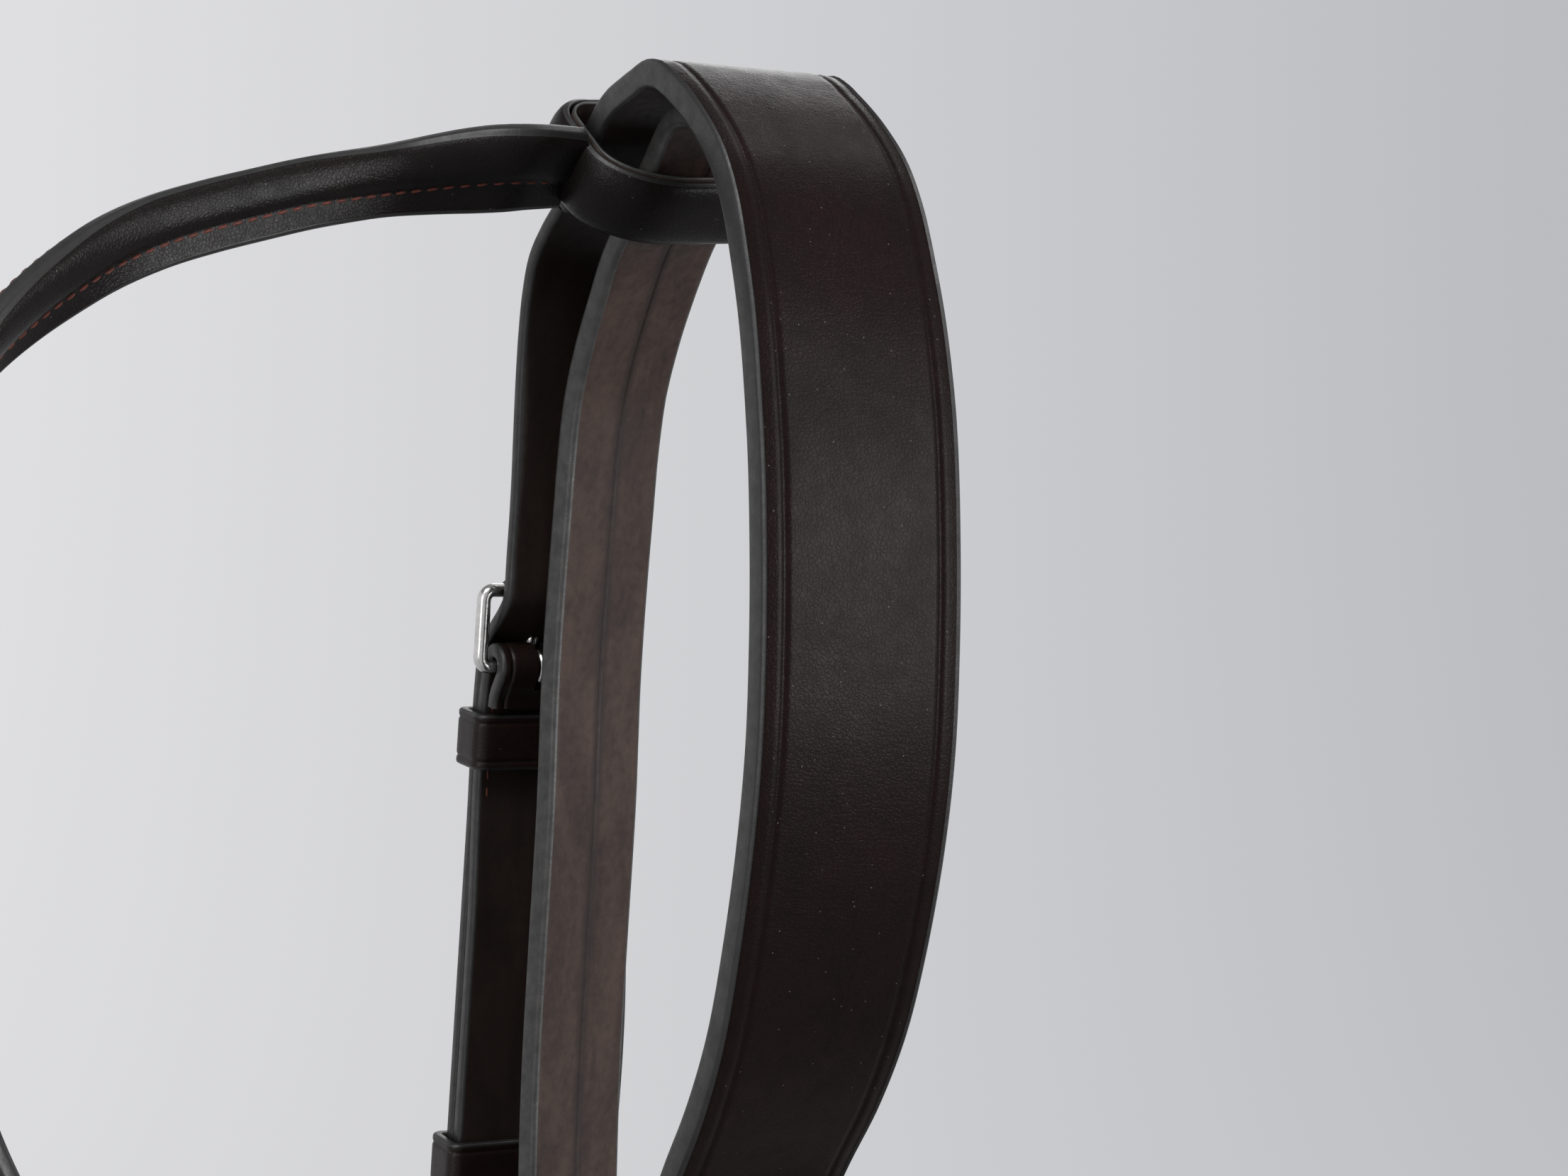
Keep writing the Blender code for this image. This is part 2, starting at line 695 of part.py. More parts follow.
def frame_at(frames, distance):
    """The frame this far along a route, measured from its first end."""
    walked = 0.0
    for (here, across, out), (there, across_next, out_next) in zip(frames, frames[1:]):
        step = (there - here).length
        if walked + step >= distance:
            t = (distance - walked) / step
            side = across.lerp(across_next, t).normalized()
            face = out.lerp(out_next, t)
            face = (face - side * face.dot(side)).normalized()
            return here.lerp(there, t), side, face
        walked += step
    return frames[-1]


def headstrap(frames):
    sweep("noseband_headstrap", frames, flat_section(HANGER_WIDTH, HANGER_THICKNESS), LINING)


def loop_places(poll):
    """Where the browband's two loops sit: near the headpiece's ends, off side first."""
    total = sum((b[0] - a[0]).length for a, b in zip(poll, poll[1:]))
    off = frame_matrix(*frame_at(poll, total - LOOP_FROM_END))
    off = off @ Matrix.Rotation(LOOP_TILT, 4, "Y") @ Matrix.Rotation(LOOP_LEVEL, 4, "X")
    near = frame_matrix(*frame_at(poll, LOOP_FROM_END))
    return off, near


def loop_outline(grow):
    """A loop's outline: small round corners on its outer (+Y) side, long ones on its inner side."""
    half = POLL_WIDTH / 2 + LOOP_SIDE_GAP + grow
    deep = LOOP_DEPTH / 2 + grow
    outer = (LOOP_OUTER_RADIUS + grow, LOOP_OUTER_RADIUS + grow)
    inner = (LOOP_INNER_REACH + grow, LOOP_INNER_RADIUS + grow)
    corners = ((1, 1, 0, outer), (-1, 1, 90, outer), (-1, -1, 180, inner), (1, -1, 270, inner))
    points = []
    for sx, sy, start, (reach, radius) in corners:
        for x, y in arc((0, 0), 1, math.radians(start), math.radians(start + 90), LOOP_CORNER_STEPS):
            points.append((sx * (half - reach) + reach * x, sy * (deep - radius) + radius * y))
    return points


def brow_widths(points):
    """The browband's share of its width at each point: wider at its ends, tapering to a narrower run."""
    walked = [0.0]
    for a, b in zip(points, points[1:]):
        walked.append(walked[-1] + (b - a).length)
    shares = []
    for distance in walked:
        from_end = min(distance, walked[-1] - distance)
        t = min(max((from_end - BROW_FULL) / BROW_TAPER, 0), 1)
        shares.append(BROW_END_SHARE + (BROW_NARROW_SHARE - BROW_END_SHARE) * t**2 * (3 - 2 * t))
    return shares


def browband(off, near):
    """The two loops, and the raised band that runs forward and round between them."""
    front = POLL_THICKNESS / 2 + LOOP_OUT_GAP
    back = front - LOOP_DEPTH
    outlines = [loop_outline(LOOP_THICKNESS), loop_outline(0)]
    for label, place in (("off", off), ("near", near)):
        spot = place @ Matrix.Translation((0, (front + back) / 2, 0))
        plate_curve(f"browband_loop_{label}", outlines, LOOP_HEIGHT, spot, LEATHER)
    lead = POLL_WIDTH / 2 + LOOP_SIDE_GAP + LOOP_THICKNESS + FIT_GAP
    middle = (front - LOOP_OUTER_RADIUS + back + LOOP_INNER_RADIUS) / 2 - BROW_INSET
    starts = [place @ Vector((-lead, middle, 0)) for place in (off, near)]
    leads = []
    for place in (off, near):
        leads.append([place @ Vector((-lead - BROW_LEAD * share, middle, 0)) for share in BROW_LEAD_SHARES])
    bends = [(-BROW_REACH * x, POLL_OFF_SPREAD * y, -BROW_DROP * z) for x, y, z in BROW_SHARES]
    points = smooth_route([starts[0], *leads[0], *bends, *leads[1][::-1], starts[1]], BROW_STATIONS)
    sides = turning_sides(len(points), -UP, LEFT, BROW_HELD)
    ends = [(-(off.to_3x3() @ UP), range(BROW_TURN)), (near.to_3x3() @ UP, range(-1, -1 - BROW_TURN, -1))]
    for end, numbers in ends:
        for step, number in enumerate(numbers):
            sides[number] = end.lerp(sides[number], step / BROW_TURN)
    section = flat_section(BROW_WIDTH, BROW_THICKNESS, BROW_EDGE)
    sweep("browband", stations(points, sides), section, LEATHER, brow_widths(points))


# Cheekpieces


def turned(name, profile, place, look):
    """A round piece, from its profile of (radius, height), top to bottom."""
    bm = bmesh.new()
    verts = [bm.verts.new((radius, 0, height)) for radius, height in profile]
    for a, b in zip(verts, verts[1:]):
        bm.edges.new((a, b))
    mesh = bpy.data.meshes.new(name)
    bm.to_mesh(mesh)
    bm.free()
    thing = finish(bpy.data.objects.new(name, mesh), look)
    thing.matrix_world = place
    screw = thing.modifiers.new("Turn", "SCREW")
    screw.steps = screw.render_steps = TURN_STEPS
    screw.use_merge_vertices = True
    screw.merge_threshold = MERGE_DISTANCE
    return thing


def hook_stud(name, b, place):
    """A rivet stud: a flat head outside, a neck through both layers and a domed head inside."""
    fold = fold_offset(b)
    inner_face = fold - b.anchor - FIT_GAP - b.anchor / 2 - FIT_GAP
    outer_face = fold + b.anchor / 2 + FIT_GAP
    top = STUD_HEAD_HEIGHT - inner_face
    profile = [(STUD_HEAD_RADIUS * r, top - STUD_HEAD_HEIGHT * h) for r, h in STUD_HEAD_SHARES]
    profile += [(STUD_NECK_RADIUS, -inner_face), (STUD_NECK_RADIUS, -outer_face)]
    back = -outer_face - STUD_PLATE
    profile += [(STUD_HEAD_RADIUS, -outer_face), (STUD_HEAD_RADIUS, back), (0, back)]
    turned(name, profile, place @ Matrix.Rotation(math.pi / 2, 4, "X"), STEEL)


def cheekpiece_path(b):
    """From the fold down to the bit's loop, and back up inside to the hook stud."""
    fold = fold_offset(b)
    far = fold - 2 * BIT_LOOP_RADIUS
    close = fold - b.anchor - FIT_GAP
    path = anchor_path(b) + [(fold, -CHEEK_LENGTH * share) for share in CHEEK_SHARES]
    path += arc((fold - BIT_LOOP_RADIUS, -CHEEK_LENGTH), BIT_LOOP_RADIUS, 0, -math.pi, FOLD_STEPS)
    path += [(far + (close - far) * y, -CHEEK_LENGTH + BIT_RETURN * z) for y, z in BIT_RETURN_SHARES]
    return path


def billet(label, b, start, heading, place, side, tail, count):
    """A punched strap from the headpiece's end through its buckle, with the tongue's hole."""
    route = run_to_buckle(start, heading, place, b, count)
    across = (place.to_3x3() @ Vector((1, 0, 0))).normalized()
    sides = [side.lerp(across, i / len(route)) for i in range(len(route))]
    rest = placed(place, billet_path(b, tail))
    sides += [across] * len(rest)
    section = flat_section(b.width, b.billet, b.edge, PLAIN_CORNER_STEPS)
    thing = strap(f"{label}_billet", route + rest, sides, section, tip=b.width * TIP_LENGTH_SHARE)
    tongue_hole(thing, f"{label}_tongue_hole", b, place)
    return thing


def cheek(label, end, heading, place, sign):
    """One side's billet, roller buckle, cheekpiece, keeper, runner and hook stud."""
    b = CHEEK_BUCKLE
    centre, across, _ = end
    start = centre - across * (POLL_WIDTH - b.width) / 2 + heading * FIT_GAP
    name = f"{label}_cheek"
    punched = billet(name, b, start, heading, place, across * sign, CHEEK_BILLET_TAIL, CHEEK_BILLET_STATIONS)
    ups = [-HOLE_FIRST - HOLE_PITCH * i for i in range(HOLE_COUNT)]
    strap_holes(punched, f"{name}_hole", b, place, over_offset(b), ups)
    side = (place.to_3x3() @ Vector((1, 0, 0))).normalized()
    section = flat_section(b.width, b.anchor, b.edge, PLAIN_CORNER_STEPS)
    piece = strap(f"{label}_cheekpiece", placed(place, cheekpiece_path(b)), side, section)
    tongue_slot(piece, f"{name}_slot", b, place)
    stud_place = place @ Matrix.Translation((0, 0, -CHEEK_LENGTH + STUD_HEIGHT))
    cut(
        piece, f"{name}_stud_hole", stud_place @ Matrix.Rotation(math.pi / 2, 4, "X"),
        (2 * (STUD_NECK_RADIUS + LOOP_GAP), 2 * (STUD_NECK_RADIUS + LOOP_GAP), 4 * fold_offset(b)),
    )
    hook_stud(f"{label}_hook_stud", b, stud_place)
    buckle_set(name, b, place, has_roller=True)
    keepers(name, b, place, RUNNER_BELOW_BAR)


# Throatlatch


def throat_place(out, drop, lean, sign):
    return strap_frame(Vector((THROAT_REAR, out, -drop)), Vector((0, -lean, 1)), Vector((0, sign, 0)))


def throatlatch(off_end, near_end):
    """Two narrow billets, and the long strap that hangs in a loop between their buckles."""
    b = NARROW_BUCKLE
    places = {
        "off": throat_place(OFF_THROAT_OUT, OFF_THROAT_DROP, OFF_THROAT_LEAN, 1),
        "near": throat_place(NEAR_THROAT_OUT, NEAR_THROAT_DROP, 0, -1),
    }
    for label, (end, heading), sign in (("off", off_end, 1), ("near", near_end, -1)):
        centre, across, _ = end
        start = centre + across * THROAT_REAR + heading * FIT_GAP
        name = f"{label}_throat"
        place = places[label]
        punched = billet(name, b, start, heading, place, across * sign, THROAT_TAIL, THROAT_BILLET_STATIONS)
        ups = [-NARROW_HOLE_FIRST - NARROW_HOLE_PITCH * i for i in range(NARROW_HOLE_COUNT)]
        strap_holes(punched, f"{name}_hole", b, place, over_offset(b), ups)
        buckle_set(name, b, place, has_roller=False)
        keepers(name, b, place, NARROW_RUNNER_BELOW)
    down = [(fold_offset(b), -THROAT_STRAIGHT * share) for share in RUN_SHARES]
    off = placed(places["off"], anchor_path(b) + down)
    near = placed(places["near"], anchor_path(b) + down)
    bends = []
    for x, y, z in THROAT_SHARES:
        across = off[-1].y + (near[-1].y - off[-1].y) * y
        bends.append((THROAT_REAR + THROAT_SWING * x, across, -THROAT_BOTTOM_DROP * z))
    ahead = [side[-1] + (side[-1] - side[-2]) * THROAT_LEAD_SHARE for side in (off, near)]
    hang = smooth_route([off[-1], ahead[0], *bends, ahead[1], near[-1]], THROAT_STATIONS)
    section = flat_section(b.width, b.anchor, b.edge, PLAIN_CORNER_STEPS)
    thing = strap("throatlatch", off + hang[1:-1] + near[::-1], Vector((1, 0, 0)), section)
    for label, place in places.items():
        tongue_slot(thing, f"{label}_throat_slot", b, place)


# Noseband


def nose_frames(hanger):
    """Frames of the nosepiece, from behind the off end of the headstrap round to behind its near end."""
    seat = HANGER_THICKNESS / 2 + NOSE_SEAT_GAP + NOSE_THICKNESS / 2
    off_y = hanger[-1][0].y + seat
    near_y = hanger[0][0].y - seat
    off_z = hanger[-1][0].z + NOSE_ABOVE_END
    near_z = hanger[0][0].z + NOSE_ABOVE_END
    route = []
    for x, y, z in NOSE_SHARES:
        route.append((-NOSE_REACH * x, off_y + (near_y - off_y) * y, off_z + (near_z - off_z) * z))
    points = smooth_route(route, NOSE_STATIONS)
    return stations(points, turning_sides(len(points), -UP, LEFT, NOSE_HELD))


def noseband(hanger):
    """The raised nosepiece, and the chin strap that buckles on the near side."""
    frames = nose_frames(hanger)
    sweep("nosepiece", frames, crowned_section(NOSE_WIDTH, NOSE_THICKNESS, NOSE_CROWN), LEATHER)
    b = CHEEK_BUCKLE
    behind = NOSE_THICKNESS / 2 + LOOP_GAP
    end, _, out = frames[-1]
    bar_y = end.y + behind + fold_offset(b) + b.anchor / 2
    place = strap_frame(Vector((end.x + CHIN_TAB, bar_y, end.z)), Vector((1, 0, 0)), Vector((0, -1, 0)))
    section = flat_section(b.width, b.anchor, b.edge, PLAIN_CORNER_STEPS)
    down = [(fold_offset(b), -(CHIN_TAB + CHIN_LAP) * share) for share in RUN_SHARES]
    tab = strap("chin_tab", placed(place, anchor_path(b) + down), UP, section)
    tongue_slot(tab, "chin_slot", b, place)
    lap = [frame_at(frames, CHIN_LAP), frame_at(frames, CHIN_LAP / 2), frames[0]]
    lap = [centre - out * (behind + b.billet / 2) for centre, _, out in lap]
    start = lap[-1]
    top = place @ Vector((0, -behind_offset(b), b.reach))
    bends = []
    for x, y, z in CHIN_SHARES:
        bends.append((CHIN_REAR * x, start.y + (top.y - start.y) * y, start.z + (top.z - start.z) * z))
    lead = start + (start - lap[0]).normalized() * CHIN_LEAD
    ahead = top + Vector((CHIN_LEAD, 0, 0))
    route = smooth_route([*lap, lead, *bends, ahead, top], CHIN_STATIONS)[:-1]
    rest = placed(place, billet_path(b, CHIN_TAIL))
    section = flat_section(b.width, b.billet, b.edge, PLAIN_CORNER_STEPS)
    sides = turning_sides(len(route), UP, -LEFT, CHIN_HELD) + [UP] * len(rest)
    chin = strap("chin_strap", route + rest, sides, section, tip=b.width * TIP_LENGTH_SHARE)
    tongue_hole(chin, "chin_tongue_hole", b, place)
    buckle_set("chin", b, place, has_roller=True)
    keepers("chin", b, place, CHIN_RUNNER_BELOW)


def main():
    clear_scene()
    poll = poll_frames()
    headpiece()
    hanger = hanger_frames()
    headstrap(hanger)
    browband(*loop_places(poll))
    off_heading = poll[-1][2].cross(poll[-1][1])
    near_heading = poll[0][1].cross(poll[0][2])
    off_place = strap_frame(
        Vector((-CHEEK_FORWARD, OFF_BAR_OUT, -OFF_BAR_DROP)), Vector((0, -OFF_LEAN, 1)), Vector((0, 1, 0))
    )
    near_place = strap_frame(
        Vector((-CHEEK_FORWARD, NEAR_BAR_OUT, -NEAR_BAR_DROP)), Vector((0, -NEAR_LEAN, 1)), -LEFT
    )
    cheek("off", poll[-1], off_heading, off_place, 1)
    cheek("near", poll[0], near_heading, near_place, -1)
    throatlatch((poll[-1], off_heading), (poll[0], near_heading))
    noseband(hanger)


main()
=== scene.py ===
"""Jumping bridle in dark brown leather, dressed over its CAD frame.

Metres, +Z up, the hook at the origin; -X is the horse's front, -Y its near (left) side. The straps
follow the same routes as the CAD solids, with finer sections, creases, painted edges, linings and
thread.
"""

import math
from collections import namedtuple

import bmesh
import bpy
import numpy as np
from mathutils import Matrix, Vector


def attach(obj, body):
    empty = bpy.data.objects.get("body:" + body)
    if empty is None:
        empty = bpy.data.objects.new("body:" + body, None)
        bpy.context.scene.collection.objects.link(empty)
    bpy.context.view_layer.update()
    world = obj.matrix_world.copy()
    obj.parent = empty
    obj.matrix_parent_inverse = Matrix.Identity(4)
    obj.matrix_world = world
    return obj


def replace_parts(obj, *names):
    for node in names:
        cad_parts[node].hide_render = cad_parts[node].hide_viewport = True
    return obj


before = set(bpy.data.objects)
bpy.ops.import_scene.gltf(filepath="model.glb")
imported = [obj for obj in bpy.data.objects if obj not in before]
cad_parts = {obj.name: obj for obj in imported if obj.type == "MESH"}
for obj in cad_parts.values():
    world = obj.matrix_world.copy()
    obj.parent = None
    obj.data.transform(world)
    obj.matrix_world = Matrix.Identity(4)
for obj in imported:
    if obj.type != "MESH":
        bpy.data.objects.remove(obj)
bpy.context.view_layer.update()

# Camera, solved from the photo
CAMERA_PLACE = (-0.3356, -0.5960, -0.0840)
CAMERA_AZIMUTH = math.radians(-30)
SENSOR_WIDTH = 36.0
CAMERA_LENS = 86.74

# Main sizes of the straps, as in the solids
FIT_GAP = 0.0003
LOOP_GAP = 0.0005
LOOP_OUT_GAP = 0.0034
NOSE_SEAT_GAP = 0.0014
POLL_WIDTH = 0.040
POLL_THICKNESS = 0.0055
POLL_NEAR_BULGE = 0.040
POLL_NEAR_DROP = 0.200
POLL_OFF_SPREAD = 0.046
POLL_OFF_DROP = 0.0275
POLL_CREST_TWIST = math.radians(6)
POLL_LOW_TWIST = math.radians(16)
OFF_TWIST = math.radians(20)
HANGER_WIDTH = 0.025
HANGER_THICKNESS = 0.0045
HANGER_OFF_SPREAD = 0.070
HANGER_OFF_DROP = 0.240
HANGER_NEAR_DROP = 0.421
HANGER_NEAR_OUT = 0.024
HANGER_NEAR_INSET = 0.0065
BROW_WIDTH = 0.0160
BROW_REACH = 0.152
BROW_DROP = 0.225
BROW_LEAD = 0.012
BROW_LEAD_SHARES = (0.45, 1.0)
BROW_INSET = 0.0012
BROW_END_SHARE = 1.06
BROW_NARROW_SHARE = 0.80
BROW_FULL = 0.010
BROW_TAPER = 0.030
LOOP_HEIGHT = 0.0145
LOOP_SIDE_GAP = 0.0016
LOOP_TILT = math.radians(3)
LOOP_LEVEL = math.radians(-15)
LOOP_OUTER_RADIUS = 0.0045
LOOP_INNER_RADIUS = 0.0090
LOOP_INNER_REACH = 0.0140
LOOP_THICKNESS = 0.0024
LOOP_DEPTH = 0.0224
LOOP_FROM_END = 0.0112
CHEEK_WIDTH = 0.019
CHEEK_THICKNESS = 0.0030
CHEEK_BILLET_THICKNESS = 0.0028
CHEEK_FORWARD = 0.0080
CHEEK_LENGTH = 0.215
CHEEK_BILLET_TAIL = 0.112
BIT_LOOP_RADIUS = 0.0070
BIT_RETURN = 0.055
STUD_HEIGHT = 0.042
OFF_BAR_OUT = 0.0685
OFF_BAR_DROP = 0.0993
OFF_LEAN = 0.145
NEAR_BAR_OUT = 0.0060
NEAR_BAR_DROP = 0.2950
ROLLER_BUCKLE_REACH = 0.0150
BUCKLE_BAR_RADIUS = 0.0014
ROLLER_RADIUS = 0.0022
ROLLER_BORE_RADIUS = 0.0017
BUCKLE_SIDE_ROOM = 0.0012
TONGUE_RADIUS = 0.0011
TONGUE_OVERHANG = 0.0015
TONGUE_LIFT = 0.12
NARROW_WIDTH = 0.0110
NARROW_THICKNESS = 0.0020
NARROW_BUCKLE_REACH = 0.0125
NARROW_BAR_RADIUS = 0.0012
NARROW_TONGUE_RADIUS = 0.0009
KEEPER_HEIGHT = 0.0110
KEEPER_THICKNESS = 0.0020
KEEPER_BELOW_BAR = 0.0150
RUNNER_BELOW_BAR = 0.1010
NARROW_KEEPER_HEIGHT = 0.0080
NARROW_RUNNER_BELOW = 0.0340
TURN_BACK = 0.0080
THROAT_REAR = 0.0135
OFF_THROAT_OUT = 0.0985
OFF_THROAT_DROP = 0.235
OFF_THROAT_LEAN = 0.22
NEAR_THROAT_OUT = 0.0020
NEAR_THROAT_DROP = 0.360
THROAT_TAIL = 0.050
THROAT_STRAIGHT = 0.056
NARROW_EDGE = 0.0006
THROAT_BOTTOM_DROP = 0.520
THROAT_SWING = 0.050
NOSE_WIDTH = 0.032
NOSE_THICKNESS = 0.0050
NOSE_CROWN = 0.0030
NOSE_REACH = 0.080
NOSE_ABOVE_END = 0.014
CHIN_TAB = 0.062
CHIN_LAP = 0.009
CHIN_LEAD = 0.014
CHIN_REAR = 0.128
CHIN_TAIL = 0.046
CHIN_RUNNER_BELOW = 0.034
HOLE_RADIUS = 0.0018
HOLE_PITCH = 0.020
HOLE_FIRST = 0.032
NARROW_HOLE_FIRST = 0.0245
HOLE_COUNT = 3
STUD_NECK_RADIUS = 0.0016
STUD_HEAD_RADIUS = 0.0034
STUD_HEAD_HEIGHT = 0.0016
STUD_PLATE = 0.0008
POLL_STATIONS = 64
HANGER_STATIONS = 64
BROW_STATIONS = 40
BROW_TURN = 5
MIDDLE_SHARE = 0.5
BROW_HELD = 0.2
NOSE_HELD = 0.22
CHIN_HELD = 0.25
CHEEK_BILLET_STATIONS = 12
THROAT_BILLET_STATIONS = 14
THROAT_STATIONS = 40
NOSE_STATIONS = 30
CHIN_STATIONS = 26
ROLLER_SHARE = 0.72
POLL_NEAR_SHARES = (
    (0.27, 0.028), (0.50, 0.065), (0.61, 0.089), (0.72, 0.127), (0.80, 0.170), (0.89, 0.232),
    (0.965, 0.324), (0.99, 0.417), (0.985, 0.507), (0.95, 0.599), (0.86, 0.690), (0.71, 0.787),
    (0.575, 0.852), (0.375, 0.917), (0.10, 0.987), (-0.06, 1.040), (-0.13, 1.110),
)
POLL_OFF_SHARES = ((0.19, 0.04), (0.39, 0.13), (0.52, 0.27), (0.68, 0.43), (0.82, 0.63))
POLL_TWIST_SETTLE_SHARE = 0.3
POLL_TWIST_LOW_SHARE = 0.6
POLL_TWIST_FADE_SHARE = 0.5
HANGER_OFF_SHARES = (
    (0.06, 0.004), (0.17, 0.019), (0.25, 0.044), (0.34, 0.066), (0.45, 0.090), (0.56, 0.130), (0.71, 0.203),
    (0.80, 0.320), (0.86, 0.433), (0.89, 0.536), (0.945, 0.657), (0.985, 0.753), (1.01, 0.865), (1.02, 1.0),
)
HANGER_TAIL_SHARES = (0.0, 0.25, 0.5, 0.75)
BROW_SHARES = (
    (0.33, 0.61, 0.042), (0.53, 0.58, 0.070), (0.757, 0.44, 0.125),
    (0.954, 0.17, 0.2445), (1.0, -0.09, 0.443), (1.0, -0.17, 0.665),
    (0.888, -0.22, 0.865), (0.658, -0.17, 0.960), (0.395, -0.07, 0.960),
)
BILLET_BEND_SHARE = 0.20
BILLET_TAIL_SHARES = (0.3, 0.6, 0.86, 0.90, 0.94, 0.97, 0.99, 1.0)
TURN_BACK_SHARES = ((0.0, 1.0), (0.08, 0.72), (0.5, 0.42), (0.92, 0.14))
CHEEK_SHARES = (0.25, 0.5, 0.75)
BIT_RETURN_SHARES = ((0.04, 0.06), (0.35, 0.20), (0.78, 0.36), (0.98, 0.47), (1.0, 0.56), (1.0, 1.0))
THROAT_SHARES = (
    (0.35, 0.02, 0.64), (0.75, 0.10, 0.82), (1.0, 0.30, 0.965),
    (1.0, 0.56, 1.0), (0.72, 0.82, 0.965), (0.35, 0.96, 0.89),
)
THROAT_LEAD_SHARE = 0.5
NOSE_SHARES = (
    (-0.30, -0.13, 0.0), (0.0, 0.0, 0.015), (0.40, 0.18, 0.09), (0.78, 0.33, 0.24), (0.98, 0.49, 0.42),
    (0.98, 0.62, 0.60), (0.78, 0.82, 0.78), (0.40, 0.96, 0.92), (0.0, 1.0, 0.985), (-0.30, 1.0, 1.0),
)
CHIN_SHARES = ((0.82, 0.02, 0.14), (0.98, 0.30, 0.38), (1.0, 0.64, 0.68), (0.95, 0.90, 0.92))
HANGER_CENTRE_Z = HANGER_THICKNESS / 2
POLL_CENTRE_Z = HANGER_THICKNESS + FIT_GAP + POLL_THICKNESS / 2
TIP_LENGTH_SHARE = 0.7
TIP_NARROW_SHARE = 0.3

CURVE_FINENESS = 40
CLOSEST_SHARE = 0.25

UP = Vector((0, 0, 1))
LEFT = Vector((0, 1, 0))
FORTH = Vector((1, 0, 0))
STRAPS = "straps"

# Routes, the same as the solids follow


def on_curve(nodes, slopes, knots, value):
    """A cubic curve's place at this value, the number of its stretch and the share walked of it."""
    i = min(max(int(np.searchsorted(knots, value, side="right")) - 1, 0), len(knots) - 2)
    span = knots[i + 1] - knots[i]
    t = (value - knots[i]) / span
    place = (
        (2 * t**3 - 3 * t**2 + 1) * nodes[i]
        + (t**3 - 2 * t**2 + t) * span * slopes[i]
        + (3 * t**2 - 2 * t**3) * nodes[i + 1]
        + (t**3 - t**2) * span * slopes[i + 1]
    )
    return place, i, t


def smooth_route(points, count):
    """Points at even distances along a smooth curve through the given ones."""
    nodes = np.array([tuple(p) for p in points])
    chords = np.sqrt(np.linalg.norm(np.diff(nodes, axis=0), axis=1))
    knots = np.concatenate([[0], np.cumsum(chords)])
    slopes = np.gradient(nodes, knots, axis=0)
    values = np.linspace(0, knots[-1], CURVE_FINENESS * len(nodes))
    places = np.array([on_curve(nodes, slopes, knots, value)[0] for value in values])
    lengths = np.concatenate([[0], np.cumsum(np.linalg.norm(np.diff(places, axis=0), axis=1))])
    even = np.linspace(0, lengths[-1], count)
    return [Vector([np.interp(s, lengths, places[:, axis]) for axis in range(3)]) for s in even]


def tangents(points):
    """The direction of travel at each point of a route."""
    ahead = points[1:] + [points[-1] * 2 - points[-2]]
    behind = [points[0] * 2 - points[1]] + points[:-1]
    return [(a - b).normalized() for a, b in zip(ahead, behind)]


def stations(points, sides):
    """Frames along a route: centre, across (the strap's width) and out (its grain side)."""
    frames = []
    for point, tangent, side in zip(points, tangents(points), sides):
        across = (side - tangent * side.dot(tangent)).normalized()
        frames.append((point, across, across.cross(tangent)))
    return frames


def turning_sides(count, end, middle, held):
    """Width directions of a band that runs out and comes back: end at both ends, middle half way."""
    sides = []
    for i in range(count):
        from_end = min(i, count - 1 - i) / (count - 1)
        turn = max(0, (from_end - held) / (MIDDLE_SHARE - held)) * math.pi / 2
        sides.append(end * math.cos(turn) + middle * math.sin(turn))
    return sides


def refined(frames, step):
    """The same frames at closer, even distances, on a smooth curve through their centres."""
    centres = np.array([tuple(f[0]) for f in frames])
    across = np.array([tuple(f[1]) for f in frames])
    chords = np.linalg.norm(np.diff(centres, axis=0), axis=1)
    knots = np.concatenate([[0], np.cumsum(chords)])
    slopes = np.gradient(centres, knots, axis=0)
    count = max(2, int(round(knots[-1] / step)))
    values = np.unique(np.concatenate([np.linspace(0, knots[-1], count), knots]))
    keep = [values[0]]
    for value in values[1:]:
        if value - keep[-1] > CLOSEST_SHARE * step:
            keep.append(value)
    keep[-1] = values[-1]
    points, sides = [], []
    for value in keep:
        place, i, t = on_curve(centres, slopes, knots, value)
        points.append(Vector(place))
        sides.append(Vector((1 - t) * across[i] + t * across[i + 1]))
    return stations(points, sides)


def lengths_along(frames):
    """How far along a route each of its frames lies."""
    total = [0.0]
    for a, b in zip(frames, frames[1:]):
        total.append(total[-1] + (b[0] - a[0]).length)
    return total


def frame_at(frames, distance):
    """The frame this far along a route, measured from its first end."""
    walked = 0.0
    for (here, across, out), (there, across_next, out_next) in zip(frames, frames[1:]):
        step = (there - here).length
        if walked + step >= distance:
            t = (distance - walked) / step
            side = across.lerp(across_next, t).normalized()
            face = out.lerp(out_next, t)
            face = (face - side * face.dot(side)).normalized()
            return here.lerp(there, t), side, face
        walked += step
    return frames[-1]


def frame_matrix(centre, across, out):
    """A local frame with X across, Y out and Z up the strap."""
    up = across.cross(out)
    matrix = Matrix((across, out, up)).transposed().to_4x4()
    matrix.translation = centre
    return matrix


def strap_frame(centre, up, out_hint):
    """The frame of a straight strap end: up runs towards the billet, out is the grain side."""
    up = up.normalized()
    out = (out_hint - up * out_hint.dot(up)).normalized()
    return frame_matrix(centre, out.cross(up), out)


Buckle = namedtuple("Buckle", "width anchor billet bar top reach tongue keeper")
CHEEK_BUCKLE = Buckle(
    CHEEK_WIDTH, CHEEK_THICKNESS, CHEEK_BILLET_THICKNESS, BUCKLE_BAR_RADIUS, ROLLER_RADIUS,
    ROLLER_BUCKLE_REACH, TONGUE_RADIUS, KEEPER_HEIGHT,
)
NARROW_BUCKLE = Buckle(
    NARROW_WIDTH, NARROW_THICKNESS, NARROW_THICKNESS, NARROW_BAR_RADIUS, NARROW_BAR_RADIUS,
    NARROW_BUCKLE_REACH, NARROW_TONGUE_RADIUS, NARROW_KEEPER_HEIGHT,
)


